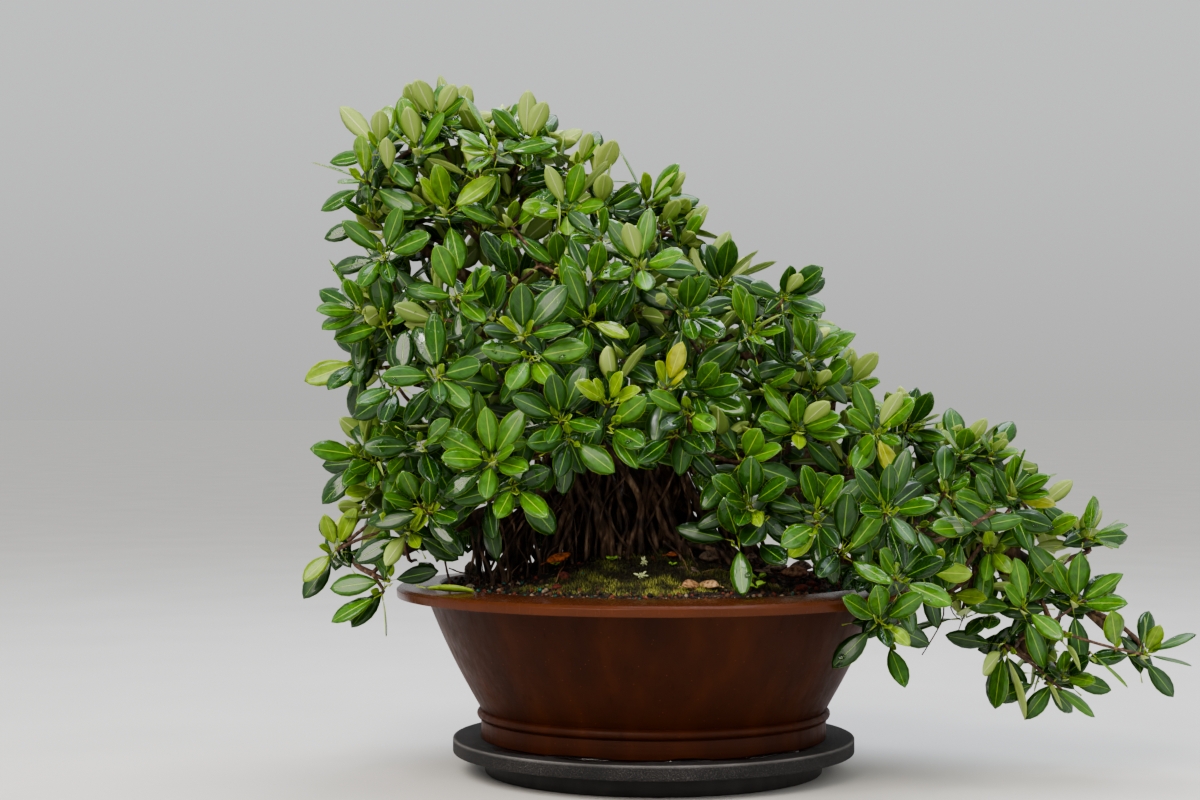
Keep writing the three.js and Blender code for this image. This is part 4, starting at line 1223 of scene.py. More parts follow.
def grow_rosette(name, root, tip, axis, start, scale, grown, mood):
    """A rosette drawn by chance: its twig, its leaves, and the young ones at the shoot's tip."""
    if before_shown(tip):
        return
    grown = list(grown)
    count = len(grown)
    for i in range(3):
        lean = 0.22 + 0.16 * i + 0.12 * vary()
        grown.append((lean, start + (count + i) * GOLDEN_ANGLE, (0.5 + 0.13 * i + 0.1 * vary()) * scale, 1.0))
    grown.append((1.35 + 0.3 * vary(), start + 7 * GOLDEN_ANGLE, (0.85 + 0.2 * vary()) * scale, -0.2))
    for lean, around, size, young in grown:
        form = leaf_form(max(0.0, young))
        tone = min(0.8, mood + 0.22 * young + 0.16 * (vary() - 0.5))
        add_leaf(name, rosette_leaf(tip, axis, lean, around, size, **form), tone)
    add_twig(name, [root, root.lerp(tip, 0.55) + Vector((0, 0, 0.002)), tip], *CHANCE_TWIG)


for name, centre, core in heads:
    small = core < CORE
    scale = SMALL_LEAVES if small else 1.0
    face = facing(centre)
    turn = 2 * math.pi * draw()
    for r in range(ROSETTES_PER_HEAD):
        axis = leaning(face, 0.7 + 0.35 * draw(), turn + r * 2 * math.pi / ROSETTES_PER_HEAD)
        tip = centre + axis * core * 0.85
        axis = (axis + Vector((0, 0, 0.3))).normalized()
        start = 2 * math.pi * draw()
        grown = []
        for i in range((FEWER_LEAVES if small else LEAVES_PER_ROSETTE)[r]):
            lean = 0.75 + 0.16 * i + 0.25 * draw()
            grown.append((lean, start + i * GOLDEN_ANGLE, (0.84 + 0.3 * draw()) * scale, 0.3 * vary()))
        mood = 0.18 + 0.3 * vary() + 0.10 * (tip.z > 0.4) + 0.08 * (tip.x > 0.2)
        grow_rosette(name, centre, tip, axis, start, scale, grown, mood)

# rosettes that the solids leave out: one in the middle of each head, two lower on its twig and one back
# towards the limb, and then one between each two heads that stand next to each other
LOWER_ROSETTES = [(0.15, 0.0, 0.3), (1.35, 1.0, 0.1), (1.45, 3.2, 0.1)]
CORE_BACK, HEADS_APART, HEAD_CLEAR = 0.034, 0.084, 0.024
extra = []
for name, centre, core in heads:
    for lean, around, rise in LOWER_ROSETTES:
        axis = leaning(facing(centre), lean, around + 6 * vary())
        tip = centre + axis * core * (0.9 + 0.2 * vary())
        extra.append((name, centre, tip, axis + Vector((0, 0, rise))))
    back = centre - facing(centre) * CORE_BACK
    extra.append((name, centre, back, leaning(facing(centre), 0.6, 6 * vary())))
for i, (name, centre, core) in enumerate(heads):
    for _, other, _ in heads[:i]:
        middle = centre.lerp(other, 0.5)
        nearest = min((h[1] - middle).length for h in heads)
        if (other - centre).length < HEADS_APART and nearest > HEAD_CLEAR:
            tip = middle + facing(middle) * 0.006
            extra.append((name, centre, tip, facing(middle) + Vector((0, 0, 0.2))))
for name, root, tip, axis in extra:
    scale = SMALL_LEAVES if tip.x > 0.25 else 1.0
    start = 2 * math.pi * vary()
    grown = [
        (0.8 + 0.14 * i + 0.2 * vary(), start + i * GOLDEN_ANGLE, (0.8 + 0.3 * vary()) * scale, 0.3 * vary())
        for i in range(4)
    ]
    grow_rosette(name, root, tip, axis.normalized(), start, scale, grown, 0.12 + 0.3 * vary())

# the twigs that carry the heads, from the nearest limb
carried = {}
for name, centre, core in heads:
    a = carried.get(name) or nodes_near(centre)[0]
    middle = a.lerp(centre, 0.5) + Vector((vary() - 0.5, vary() - 0.5, vary() - 0.5)) * 0.008
    add_twig(name, [a, middle, centre], *HEAD_TWIG)
    carried[name] = centre

# leaf blade, upper side: thick and waxy, deep green when old and lime when young, with a pale midrib, a thin
# margin painted pale as a painted highlight where the rim catches the light, and faint veins that leave the
# midrib about every 4 mm
VEINS = 10
blade, shader = new_material("waxy fig leaf, upper side", IOR=1.45, Coat_Weight=0.2, Coat_Roughness=0.1)
where = add_node(blade, "TexCoord", {})
flat = add_node(blade, "SeparateXYZ", {0: where.outputs["UV"]})
tone = add_node(blade, "Attribute", {}, attribute_name="tone", attribute_type="GEOMETRY")
wet = add_node(blade, "Attribute", {}, attribute_name="wet", attribute_type="GEOMETRY")
green = add_node(
    blade, "ValToRGB", {0: tone.outputs["Fac"]},
    ramp=[(0.0, "#0f3209"), (0.3, "#295c0f"), (0.55, "#508b14"), (0.8, "#90b520"), (0.95, "#a8b01c")],
)
mottle = add_node(blade, "TexNoise", {"Vector": where.outputs["Object"], "Scale": 210.0, "Detail": 4})
mottled = add_node(blade, "ValToRGB", {0: mottle}, ramp=[(0.3, "#c4c4c4"), (0.7, "#ffffff")])
coloured = add_node(blade, "Mix", {0: 1.0, 6: green, 7: mottled}, data_type="RGBA", blend_type="MULTIPLY")
centred = add_node(blade, "Math", {0: flat.outputs[0], 1: 0.5}, operation="SUBTRACT")
off_rib = add_node(blade, "Math", {0: centred}, operation="ABSOLUTE")
from_tip = add_node(blade, "Math", {0: 1.0, 1: flat.outputs[1]}, operation="SUBTRACT")
swelling = add_node(blade, "Math", {0: from_tip, 1: 5.0}, operation="POWER")
rib_half = add_node(blade, "Math", {0: swelling, 1: 0.1, 2: 0.026}, operation="MULTIPLY_ADD")
on_rib = add_node(blade, "Math", {0: off_rib, 1: rib_half}, operation="DIVIDE")
rib = add_node(blade, "MapRange", {0: on_rib, 1: 0.45, 2: 1.05, 3: 0.8, 4: 0.0})
# painted highlight: a thin pale line along the blade's rim, where its edge catches the light
painted_rim_highlight = add_node(blade, "MapRange", {0: off_rib, 1: 0.452, 2: 0.480, 4: 0.75})
rib_and_rim_highlight = add_node(blade, "Math", {0: rib, 1: painted_rim_highlight}, operation="MAXIMUM")
pale = add_node(
    blade, "ValToRGB", {0: tone.outputs["Fac"]}, ramp=[(0.0, "#5f8f2e"), (0.4, "#8fb33c"), (0.8, "#c3d350")],
)
lined = add_node(blade, "Mix", {0: rib_and_rim_highlight, 6: coloured, 7: pale}, data_type="RGBA")
slant = add_node(blade, "Math", {0: off_rib, 1: -0.55, 2: flat.outputs[1]}, operation="MULTIPLY_ADD")
slant = add_node(blade, "Math", {0: slant, 1: VEINS}, operation="MULTIPLY")
slant = add_node(blade, "Math", {0: slant, 1: 0.5}, operation="PINGPONG")
vein = add_node(blade, "MapRange", {0: slant, 2: 0.09, 3: 0.10, 4: 0.0})
veined = add_node(blade, "Mix", {0: vein, 6: lined, 7: pale}, data_type="RGBA")
link(blade, veined, shader, "Base Color")
wax = add_node(blade, "MapRange", {0: mottle, 1: 0.3, 2: 0.7, 3: 0.28, 4: 0.46})
# rain stands on the wetter leaves as a film, in patches a centimetre or two across that shine like glass
film = add_node(blade, "TexNoise", {"Vector": where.outputs["Object"], "Scale": 85.0, "Detail": 3})
film = add_node(blade, "Math", {0: film, 1: wet.outputs["Fac"]}, operation="ADD")
film = add_node(blade, "MapRange", {0: film, 1: 1.05, 2: 1.09})
gloss = add_node(blade, "Mix", {0: film, 2: wax, 3: 0.07})
link(blade, gloss, shader, "Roughness")
groove = add_node(blade, "Math", {0: rib, 1: vein}, operation="ADD")
relief = add_node(blade, "Math", {0: film, 1: groove}, operation="SUBTRACT")
bump = add_node(blade, "Bump", {"Height": relief, "Strength": 0.5, "Distance": 0.0004})
link(blade, bump, shader, "Normal")

# the underside: duller and pale yellow-green, partly its own colour and partly painted light that shines
# through the leaf, with the midrib raised and paler still
underside, shader = new_material("fig leaf, underside", IOR=1.45, Roughness=0.5)
where = add_node(underside, "TexCoord", {})
flat = add_node(underside, "SeparateXYZ", {0: where.outputs["UV"]})
tone = add_node(underside, "Attribute", {}, attribute_name="tone", attribute_type="GEOMETRY")
# partly painted light: the pale yellow-green stands in for light that shines through the thin leaf
green = add_node(
    underside, "ValToRGB", {0: tone.outputs["Fac"]},
    ramp=[(0.0, "#4d6c2f"), (0.2, "#769248"), (0.42, "#a1b961"), (0.8, "#c5d377"), (0.95, "#bdb848")],
)
centred = add_node(underside, "Math", {0: flat.outputs[0], 1: 0.5}, operation="SUBTRACT")
off_rib = add_node(underside, "Math", {0: centred}, operation="ABSOLUTE")
rib = add_node(underside, "MapRange", {0: off_rib, 1: 0.02, 2: 0.05, 3: 1.0, 4: 0.0})
ribbed = add_node(underside, "Mix", {0: rib, 6: green, 7: linear("#cfd99a")}, data_type="RGBA")
link(underside, ribbed, shader, "Base Color")
bump = add_node(underside, "Bump", {"Height": rib, "Strength": 0.6, "Distance": 0.0006})
link(underside, bump, shader, "Normal")

# the stalk: fleshy and yellow-green
stalk_green, shader = new_material("fig leaf stalk", Roughness=0.4, Base_Color=linear("#9db43c"))

# young fig twigs: reddish brown, with pale ring scars where leaves fell
twig_bark, shader = new_material("reddish fig twig", Roughness=0.65)
where = add_node(twig_bark, "TexCoord", {})
scars = add_node(twig_bark, "TexNoise", {"Vector": where.outputs["Object"], "Scale": 330.0, "Detail": 4})
scarred = [(0.35, "#33211a"), (0.55, "#60432f"), (0.72, "#947a5e")]
tone = add_node(twig_bark, "ValToRGB", {0: scars}, ramp=scarred)
link(twig_bark, tone, shader, "Base Color")
bump = add_node(twig_bark, "Bump", {"Height": scars, "Strength": 0.6, "Distance": 0.0006})
link(twig_bark, bump, shader, "Normal")

for name in leaves:
    spray_bm = scattered(leaf_mesh, [placement for placement, _, _ in leaves[name]])
    tone_layer, wet_layer = (spray_bm.faces.layers.float.new(n) for n in ("tone", "wet"))
    for i, face in enumerate(spray_bm.faces):
        _, face[tone_layer], face[wet_layer] = leaves[name][i // len(leaf_mesh.polygons)]
    twig_bm = bmesh.new()
    for path, radii in twigs[name]:
        grow_tube(twig_bm, path, radii, 6)
    for face in twig_bm.faces:
        face.material_index = 3
    spray_bm.from_mesh(as_mesh(twig_bm, "twigs"))
    spray = make_piece("leafy_" + name, spray_bm, blade, underside, stalk_green, twig_bark)
    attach(spray, "display")
    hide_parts(name)

# Water
# Rain that stands on the leaves in front in flattened beads of 1.5 to 6 mm, and in low pools on the
# board against the pot's foot.
WET_LEAVES, FEWER_BEADS_THAN, SMALLEST_BEAD, BEAD_RANGE = 0.17, 4, 0.0007, 0.0016
POOLS = [(-37, -13), (2, 17), (28, 51)]
POOL_OUT, POOL_STEPS, POOL_TIP, POOL_SWELL, POOL_FLAT = 0.0026, 24, 0.0005, 0.0024, 0.75
bead_bm = bmesh.new()
bmesh.ops.create_icosphere(bead_bm, subdivisions=2, radius=1)
bead_mesh = as_mesh(bead_bm, "bead")
draw = random_stream(97)
beads = []
for name in leaves:
    for placement, _, _ in leaves[name]:
        wetted = draw()
        if wetted >= WET_LEAVES or placement(Vector((0, 0.5, 1))).y >= -0.01:
            continue
        for _ in range(int(FEWER_BEADS_THAN * draw())):
            across, along = 1.3 * (draw() - 0.5), 0.45 + 0.5 * draw()
            spot = placement(Vector((across, along, 1)))
            ahead = placement(Vector((across, along + 0.05, 1))) - spot
            aside = placement(Vector((across + 0.1, along, 1))) - spot
            outward = aside.cross(ahead).normalized()
            size = SMALLEST_BEAD + BEAD_RANGE * draw() ** 2
            if outward.z > 0.1:
                upright = Vector((0, 0, 1)).rotation_difference(outward)
                beads.append(laid(spot, upright, Vector((size * 1.4, size, size * 0.5))))
beads_bm = scattered(bead_mesh, beads)
pool_out = FOOT_RADIUS + POOL_OUT
for start, end in POOLS:
    steps = range(POOL_STEPS + 1)
    angles = [math.radians(start + (end - start) * i / POOL_STEPS) for i in steps]
    path = [Vector((math.sin(a) * pool_out, -math.cos(a) * pool_out, board_high.z)) for a in angles]
    radii = [POOL_TIP + POOL_SWELL * math.sin(math.pi * i / POOL_STEPS) ** 0.5 for i in steps]
    first = len(beads_bm.verts)
    grow_tube(beads_bm, path, radii, 12)
    for i, vertex in enumerate(beads_bm.verts):
        if i >= first:
            vertex.co.z = board_high.z + POOL_FLAT * (vertex.co.z - board_high.z)

# rain water: clear and as smooth as glass, so that it shows mainly by its glints
clear_water, shader = new_material("clear water", Roughness=0.02, IOR=1.33, Transmission_Weight=1.0)
water = make_piece("water_beads_and_pools", beads_bm, clear_water)
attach(water, "display")

# Moss
# A cushion of short moss that grew on the compost in front of the roots, a tangle of yellow-green and
# olive shoots of 2 to 4 mm, with thinner patches of the same moss along the lip and at the roots' feet.
MOSS_PLACE, MOSS_HALF_WIDTH, MOSS_HALF_DEPTH = Vector((-0.004, -0.094, 0)), 0.078, 0.036
MOSS_THICK, MOSS_EDGE_DROP, MOSS_SUNK, MOSS_RINGS, MOSS_STEPS = 0.0026, 0.0006, 0.0012, 36, 120
MOSS_SHOOTS, PATCH_SHOOTS = 7000, 500
SHOOT_FOOT, SHOOT_TIP, SHOOT_LENGTH, SHOOT_SUNK = 0.00042, 0.00008, 0.0026, 0.0004
# the pixel of each patch's middle, and its reach in metres
MOSS_PATCHES = [
    ((532, 590), 0.016), ((760, 589), 0.020), ((655, 594), 0.016), ((478, 590), 0.008),
    ((642, 552), 0.018), ((612, 557), 0.016), ((672, 557), 0.015),
]


def moss_edge(angle):
    """How far the cushion reaches in a direction, as a share of its half width and half depth."""
    return 1 + 0.1 * math.sin(3 * angle + 1) + 0.06 * math.sin(7 * angle)


def moss_spot(share, angle):
    reach = share * moss_edge(angle)
    return (
        MOSS_PLACE.x + MOSS_HALF_WIDTH * reach * math.cos(angle),
        MOSS_PLACE.y + MOSS_HALF_DEPTH * reach * math.sin(angle),
    )


def moss_height(share, x, y):
    """The cushion's top: low pillows, thinner to the edge."""
    pillows = 0.5 + noise.noise(Vector((x, y, 0.7)) * 85) + 0.5 * noise.noise(Vector((x, y, 1.9)) * 260)
    thick = MOSS_THICK * (1 - share**4) * (0.35 + 0.9 * max(0.0, pillows))
    return soil_height(x, y) + thick - MOSS_EDGE_DROP * share


moss_bm = turned(
    [(0, 0), (1, 0)] + [(1 - i / MOSS_RINGS, 1) for i in range(1, MOSS_RINGS + 1)], MOSS_STEPS,
)
for vertex in moss_bm.verts:
    share, top = math.hypot(vertex.co.x, vertex.co.y), vertex.co.z > 0.5
    x, y = moss_spot(share, math.atan2(vertex.co.y, vertex.co.x))
    vertex.co = (x, y, moss_height(share, x, y) if top else soil_height(x, y) - MOSS_SUNK)
bmesh.ops.recalc_face_normals(moss_bm, faces=moss_bm.faces)

shoot_bm = bmesh.new()
bmesh.ops.create_cone(
    shoot_bm, cap_ends=True, segments=3, radius1=SHOOT_FOOT, radius2=SHOOT_TIP, depth=SHOOT_LENGTH,
    matrix=Matrix.Translation((0, 0, SHOOT_LENGTH / 2)),
)
shoot_mesh = as_mesh(shoot_bm, "moss shoot")
draw = random_stream(53)
spots = []
for _ in range(MOSS_SHOOTS):
    share = 1.04 * math.sqrt(draw())
    x, y = moss_spot(share, 2 * math.pi * draw())
    spots.append(Vector((x, y, moss_height(min(1.0, share), x, y) - SHOOT_SUNK)))
for pixel, reach in MOSS_PATCHES:
    middle = on_soil(pixel)
    for _ in range(PATCH_SHOOTS):
        out, angle = reach * math.sqrt(draw()), 2 * math.pi * draw()
        x, y = middle.x + out * math.cos(angle), middle.y + 0.4 * out * math.sin(angle)
        if math.hypot(x, y) < SOIL_EDGE - 0.001:
            spots.append(Vector((x, y, soil_surface(x, y) - SHOOT_SUNK)))
placements, moss_kinds = [], []
for spot in spots:
    turn = Euler((1.0 * (draw() - 0.5), 1.0 * (draw() - 0.5), 6 * draw()))
    placements.append(laid(spot, turn, (0.6 + 0.8 * draw()) * Vector((1, 1, 1))))
    sunlit = min(1.0, max(0.0, (-spot.y - 0.098) / 0.034))
    moss_kinds.append(0.34 * draw() + 0.42 * (0.5 + noise.noise(spot * 75)) + 0.24 * sunlit)
tufts_bm = scattered(shoot_mesh, placements)
kind = tufts_bm.faces.layers.float.new("kind")
for i, face in enumerate(tufts_bm.faces):
    face[kind] = moss_kinds[i // len(shoot_mesh.polygons)]

# moss: olive and brown-green low down, with fresh yellow-green tips in drifts a centimetre or two across
moss_green, shader = new_material("cushion moss", Roughness=0.9)
kinds = add_node(moss_green, "Attribute", {}, attribute_name="kind", attribute_type="GEOMETRY")
tone = add_node(
    moss_green, "ValToRGB", {0: kinds.outputs["Fac"]},
    ramp=[(0.15, "#22190e"), (0.33, "#39341a"), (0.5, "#525526"), (0.68, "#878c38"), (0.88, "#b5b45c")],
)
link(moss_green, tone, shader, "Base Color")

# the cushion under the shoots: dark olive, mixed with the compost's brown
moss_bed, shader = new_material("moss bed", Roughness=0.95)
where = add_node(moss_bed, "TexCoord", {})
clumps = add_node(moss_bed, "TexNoise", {"Vector": where.outputs["Object"], "Scale": 260.0, "Detail": 5})
tone = add_node(
    moss_bed, "ValToRGB", {0: clumps},
    ramp=[(0.35, "#17120b"), (0.5, "#29240f"), (0.62, "#444a1c"), (0.75, "#6f7930")],
)
link(moss_bed, tone, shader, "Base Color")
bump = add_node(moss_bed, "Bump", {"Height": clumps, "Strength": 1.0, "Distance": 0.002})
link(moss_bed, bump, shader, "Normal")

moss_cushion = make_piece("moss_cushion", moss_bm, moss_bed)
moss_shoots = make_piece("moss_shoots", tufts_bm, moss_green)
for piece in (moss_cushion, moss_shoots):
    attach(piece, "display")
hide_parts("moss")
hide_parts("moss")

# Fallen leaf on the lip
# A fresh leaf of the tree, folded along its midrib, that lies on the pot's lip with its stalk to the left.
LOOSE_WET = 0.5
LIP_LEAF = {"turn": -0.40, "length": 0.046, "stalk_end": Vector((-0.1712, -0.0850, 0.1446))}


def loose_leaves(name, fallen, *materials):
    """A piece of loose leaves, each a placement of the flat pattern and a tone."""
    bm = scattered(leaf_mesh, [placement for placement, _ in fallen])
    tone_layer, wet_layer = (bm.faces.layers.float.new(n) for n in ("tone", "wet"))
    for i, face in enumerate(bm.faces):
        face[tone_layer] = fallen[i // len(leaf_mesh.polygons)][1]
        face[wet_layer] = LOOSE_WET
    piece = make_piece(name, bm, *materials)
    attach(piece, "display")
    return piece


def along_ground(turn, tilt=0.0):
    """The direction with a turn on the ground and a tilt above it."""
    return Vector((math.cos(turn) * math.cos(tilt), math.sin(turn) * math.cos(tilt), math.sin(tilt)))


along = along_ground(LIP_LEAF["turn"], -0.2)
up = square_to(along, Vector((0, 0.25, 1)))
lip_leaf = loose_leaves(
    "fresh_leaf_on_lip",
    [(
        leaf_shape(
            LIP_LEAF["stalk_end"], along, up, LIP_LEAF["length"] / LEAF_LENGTH,
            fold=0.75, sag=-0.14, roll=0.0, twist=0.15, slim=0.62,
        ),
        0.78,
    )],
    blade, blade, stalk_green,
)
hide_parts("fallen_leaf_on_lip")

# Dry leaves
# Old leaves of the tree that lie on the soil: rust-red and curled, tan, and grey-brown where they rot.
# The largest lies in front of the roots on the left. The small ones are given by the pixel of the middle,
# the turn of the tip in radians, the length as a share of a fresh leaf's, and the tone.
DRY_LIFT = 0.0055
RUST_LEAF = {"turn": 0.35, "length": 0.026, "middle": Vector((-0.0715, -0.070, 0.1640))}
DRY_LEAVES = [
    ((690, 591), 0.8, 0.60, 0.75), ((710, 591), 2.4, 0.60, 0.80), ((696, 577), 1.2, 0.50, 0.25),
    ((763, 577), 2.2, 0.55, 0.26), ((775, 573), 0.3, 0.55, 0.24), ((790, 578), 5.8, 0.60, 0.38),
    ((714, 563), 3.9, 0.55, 0.10), ((726, 549), 1.9, 0.50, 0.15), ((672, 561), 0.2, 0.34, 0.55),
    ((803, 571), 2.6, 0.60, 0.22), ((500, 571), 5.1, 0.45, 0.20), ((628, 553), 4.1, 0.40, 0.10),
    ((818, 566), 1.0, 0.60, 0.30), ((745, 563), 5.2, 0.50, 0.28), ((590, 549), 0.1, 0.50, 0.05),
    ((780, 562), 4.4, 0.55, 0.12), ((520, 560), 2.4, 0.40, 0.15),
]

# dead fig leaf: leathery, from grey-brown to tan and rust, darker in spots of a millimetre or two
dead_leaf, shader = new_material("dead fig leaf", Roughness=0.6)
where = add_node(dead_leaf, "TexCoord", {})
tone = add_node(dead_leaf, "Attribute", {}, attribute_name="tone", attribute_type="GEOMETRY")
brown = add_node(
    dead_leaf, "ValToRGB", {0: tone.outputs["Fac"]},
    ramp=[(0.0, "#5d4838"), (0.3, "#a08570"), (0.55, "#c06018"), (0.8, "#cfa677")],
)
spots = add_node(dead_leaf, "TexNoise", {"Vector": where.outputs["Object"], "Scale": 420.0, "Detail": 5})
spotted = add_node(dead_leaf, "ValToRGB", {0: spots}, ramp=[(0.35, "#5f5248"), (0.6, "#ffffff")])
browned = add_node(
    dead_leaf, "Mix", {0: 1.0, 6: brown, 7: spotted},
    data_type="RGBA", blend_type="MULTIPLY",
)
link(dead_leaf, browned, shader, "Base Color")
bump = add_node(dead_leaf, "Bump", {"Height": spots, "Strength": 0.5, "Distance": 0.0006})
link(dead_leaf, bump, shader, "Normal")


def curled(middle, turn, size, lift, tilt=0.2):
    """A dry leaf: cupped along its midrib and arched, lying on the soil."""
    along = along_ground(turn, tilt)
    up = square_to(along, Vector((0.3 * math.sin(7 * turn), -0.9, 0.75)).normalized())
    return leaf_shape(
        middle - along * LEAF_LENGTH * size / 2 + Vector((0, 0, lift)), along, up, size,
        fold=0.5, sag=0.22, roll=0.5, twist=0.7 * math.sin(5 * turn), slim=1.15,
    )


rust_leaf = loose_leaves(
    "rust_red_leaf_on_soil",
    [(curled(RUST_LEAF["middle"], RUST_LEAF["turn"], RUST_LEAF["length"] / LEAF_LENGTH, 0.0, 0.42), 0.55)],
    dead_leaf, dead_leaf, dead_leaf,
)
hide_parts("fallen_leaf_on_soil")
dry_leaves = loose_leaves(
    "dry_leaves_on_soil",
    [(curled(on_soil(pixel), turn, size, DRY_LIFT), tone) for pixel, turn, size, tone in DRY_LEAVES],
    dead_leaf, dead_leaf, dead_leaf,
)

# Seedlings
# Small weeds that came up on the soil: pale rosettes of narrow leaves, and seedlings with three round
# ones. Each is given by its pixel and its leaves' size as a share of the tree's, and a weed by the count
# and the tone of its leaves too.
WEEDS = [((644, 568), 9, 0.10, 0.62), ((641, 582), 9, 0.13, 0.64)]
SEEDLINGS = [
    ((759, 583), 0.22), ((757, 592), 0.26), ((556, 569), 0.12), ((612, 564), 0.14), ((672, 569), 0.10),
]
placed = []
for pixel, count, size, tone in WEEDS:
    middle = on_soil(pixel) + Vector((0, 0, 0.004))
    facing_out = Vector((0, -0.75, 0.66))
    for i in range(count):
        along = leaning(facing_out, 0.9 + 0.25 * (i % 3), i * GOLDEN_ANGLE)
        up = square_to(along, facing_out)
        uneven = size * (0.8 + 0.3 * math.sin(5 * i + pixel[0]))
        form = leaf_shape(middle, along, up, uneven, fold=0.3, sag=0.1, roll=0.0, twist=0.0, slim=0.9)
        placed.append((form, tone))
for pixel, size in SEEDLINGS:
    middle = on_soil(pixel) + Vector((0, 0, 0.003))
    for i in range(3):
        along = along_ground(2.2 * i + pixel[0], 0.5)
        up = square_to(along, Vector((0, -0.5, 1)))
        form = leaf_shape(middle, along, up, size, fold=0.1, sag=0.1, roll=0.0, twist=0.0, slim=1.4)
        placed.append((form, 0.8))

# the weeds' leaf: thin and soft, pale grey-green on the weeds and bright green on the seedlings
weed_leaf, shader = new_material("soft seedling leaf", Roughness=0.55)
tone = add_node(weed_leaf, "Attribute", {}, attribute_name="tone", attribute_type="GEOMETRY")
green = add_node(
    weed_leaf, "ValToRGB", {0: tone.outputs["Fac"]}, ramp=[(0.62, "#c3cb98"), (0.78, "#8fbf3c")],
)
link(weed_leaf, green, shader, "Base Color")
seedlings = loose_leaves("weeds_and_seedlings", placed, weed_leaf, weed_leaf, weed_leaf)

# Stones and straws
# Pebbles and crumbs of bark, 5 to 19 mm long, with a few dry straws and fertiliser prills on the soil.
# Each stone is given by its pixel and its three half lengths in millimetres, a straw by its ends' pixels.
STONES = [
    ((538, 559), (4.2, 3.2, 3.0), "pale"), ((588, 549), (9.5, 5.0, 5.0), "brown"),
    ((471, 575), (5.0, 4.2, 9.0), "pale"), ((471, 590), (4.0, 3.2, 3.4), "pale"),
    ((556, 590), (4.2, 3.6, 3.2), "red"), ((565, 579), (5.2, 4.2, 4.0), "red"),
    ((801, 590), (5.4, 3.6, 3.0), "red"), ((685, 571), (6.0, 4.0, 2.4), "brown"),
    ((612, 557), (3.4, 3.0, 2.8), "red"), ((812, 586), (4.0, 3.4, 3.0), "red"),
    ((497, 578), (3.6, 3.0, 3.0), "pale"), ((450, 590), (3.0, 2.6, 2.4), "red"),
]
STRAWS = [
    ((703, 575), (729, 575)), ((556, 585), (564, 569)), ((676, 552), (690, 578)), ((495, 562), (520, 549)),
]
PRILLS = [
    (478, 592), (504, 585), (588, 582), (540, 591), (619, 569),
    (583, 575), (604, 581), (809, 589), (482, 588),
]
STRAW_LIFT, STRAW_THICK, STRAW_THIN, STRAW_STEPS = 0.002, 0.0006, 0.0004, 6
PRILL_RADIUS, PRILL_LIFT = 0.0013, 0.0007
stone_bm = bmesh.new()
bmesh.ops.create_icosphere(stone_bm, subdivisions=3, radius=1)
for vertex in stone_bm.verts:
    vertex.co *= 1 + 0.35 * noise.noise(vertex.co * 1.3) + 0.08 * noise.noise(vertex.co * 5)
stone_mesh = as_mesh(stone_bm, "stone")

# loose stones: red scoria, pale pumice and brown bark, all rough and pitted
STONE_COLOURS = {"pale": "#8f8371", "brown": "#6b5546", "red": "#7a2f1f"}
for colour, shade in STONE_COLOURS.items():
    chosen = [(pixel, size) for pixel, size, c in STONES if c == colour]
    places = []
    for pixel, size in chosen:
        middle = on_soil(pixel) + Vector((0, 0, size[2] * 0.3 * MM))
        places.append(laid(middle, Euler((0.1, 0.1, pixel[0])), Vector(size) * MM))
    stone, shader = new_material(f"{colour} loose stone", Roughness=0.8)
    where = add_node(stone, "TexCoord", {})
    pits = add_node(stone, "TexNoise", {"Vector": where.outputs["Object"], "Scale": 600.0, "Detail": 6})
    tone = add_node(stone, "ValToRGB", {0: pits}, ramp=[(0.3, "#1e1612"), (0.6, shade)])
    link(stone, tone, shader, "Base Color")
    bump = add_node(stone, "Bump", {"Height": pits, "Strength": 0.8, "Distance": 0.0008})
    link(stone, bump, shader, "Normal")
    stones = make_piece(f"{colour}_stones", scattered(stone_mesh, places), stone)
    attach(stones, "display")

lift = Vector((0, 0, STRAW_LIFT))
straw_bm = bmesh.new()
for ends in STRAWS:
    a, b = (on_soil(pixel) + lift for pixel in ends)
    path = spaced([a, a.lerp(b, 0.5) + lift, b], STRAW_STEPS)
    grow_tube(straw_bm, path, taper(STRAW_THICK, STRAW_THIN, STRAW_STEPS), 6)
# dry straw: dull and tan
straw, shader = new_material("dry straw", Roughness=0.6, Base_Color=linear("#8c6a45"))
straws = make_piece("straws", straw_bm, straw)
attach(straws, "display")

prill_bm = bmesh.new()
bmesh.ops.create_icosphere(prill_bm, subdivisions=3, radius=PRILL_RADIUS)
prill_mesh = as_mesh(prill_bm, "prill")
prills_bm = scattered(prill_mesh, [
    laid(on_soil(pixel) + Vector((0, 0, PRILL_LIFT)), None, None) for pixel in PRILLS
])
# coated fertiliser: smooth turquoise beads with a soft gloss
prill_coat, shader = new_material("coated fertiliser", Roughness=0.25, Base_Color=linear("#14806e"))
prills = make_piece("fertiliser_prills", prills_bm, prill_coat)
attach(prills, "display")

# Floor and light
# A plain pale studio floor and soft light: a large softbox from the upper left in front, a weaker one
# from above and behind, a small panel that glints on wet leaves, and an even pale surround.
FLOOR_HALF = 30
floor_bm = bmesh.new()
bmesh.ops.create_grid(floor_bm, x_segments=8, y_segments=8, size=FLOOR_HALF)

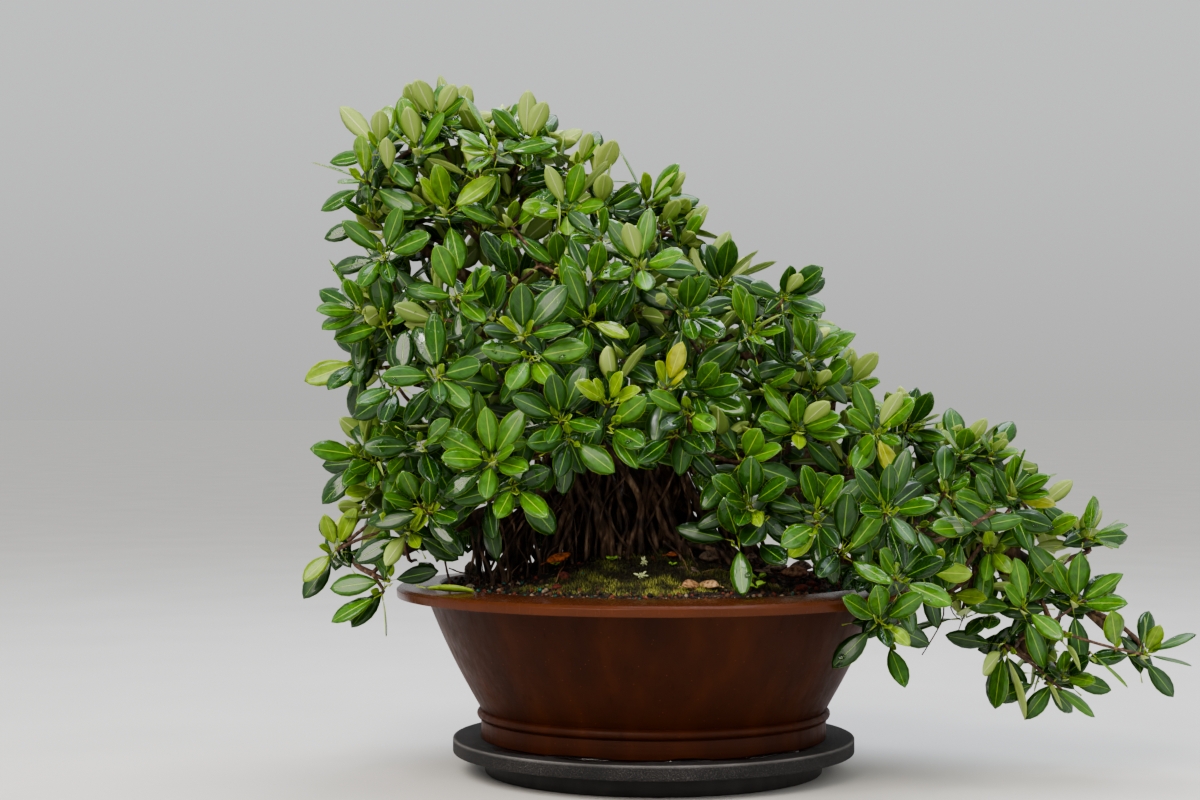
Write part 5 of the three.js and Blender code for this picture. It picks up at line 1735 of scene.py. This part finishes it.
# matt floor paint: pale and almost even, so that it only takes the soft shadow
floor_paint, shader = new_material("matt pale studio floor", Roughness=0.9)
where = add_node(floor_paint, "TexCoord", {})
cloud = add_node(floor_paint, "TexNoise", {"Vector": where.outputs["Object"], "Scale": 6.0, "Detail": 3})
tone = add_node(floor_paint, "ValToRGB", {0: cloud}, ramp=[(0.3, "#cfccc7"), (0.7, "#d6d3ce")])
link(floor_paint, tone, shader, "Base Color")
floor = make_piece("studio_floor", floor_bm, floor_paint)
floor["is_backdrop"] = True

TREE_MIDDLE = Vector((0.05, 0, 0.26))
# each softbox's place, side, watts and colour
SOFTBOXES = [
    ("key softbox", (-0.9, -1.5, 1.6), 1.3, 42, "#fff6ea"),
    ("top softbox", (0.2, 0.5, 1.7), 1.2, 26, "#e6eeff"),
    ("fill softbox", (1.6, -1.2, 0.9), 1.4, 9, "#ffffff"),
    ("glint panel", (-0.35, -0.9, 1.75), 0.22, 5, "#ffffff"),
]
for name, place, size, power, colour in SOFTBOXES:
    lamp = bpy.data.objects.new(name, bpy.data.lights.new(name, "AREA"))
    lamp.data.size = size
    lamp.data.energy = power
    lamp.data.color = linear(colour)[:3]
    lamp.location = place
    lamp.rotation_euler = (TREE_MIDDLE - Vector(place)).to_track_quat("-Z", "Y").to_euler()
    bpy.context.scene.collection.objects.link(lamp)

# the pale surround is a little darker at the horizon, where it meets the floor
surround = bpy.data.worlds.new("pale surround")
surround.use_nodes = True
background = surround.node_tree.nodes["Background"]
background.inputs["Strength"].default_value = 0.95
where = add_node(surround, "TexCoord", {})
height = add_node(surround, "SeparateXYZ", {0: where.outputs["Generated"]})
paling = add_node(
    surround, "ValToRGB", {0: height.outputs[2]},
    ramp=[(0.0, "#bbbbba"), (0.12, "#d2d3d4"), (0.35, "#e4e6e9")],
)
link(surround, paling, background, "Color")
bpy.context.scene.world = surround
bpy.context.scene.view_settings.view_transform = "AgX"
bpy.context.scene.view_settings.look = "AgX - Medium High Contrast"

# Sizes
# The box of what is shown, the floor left out.
low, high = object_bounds()
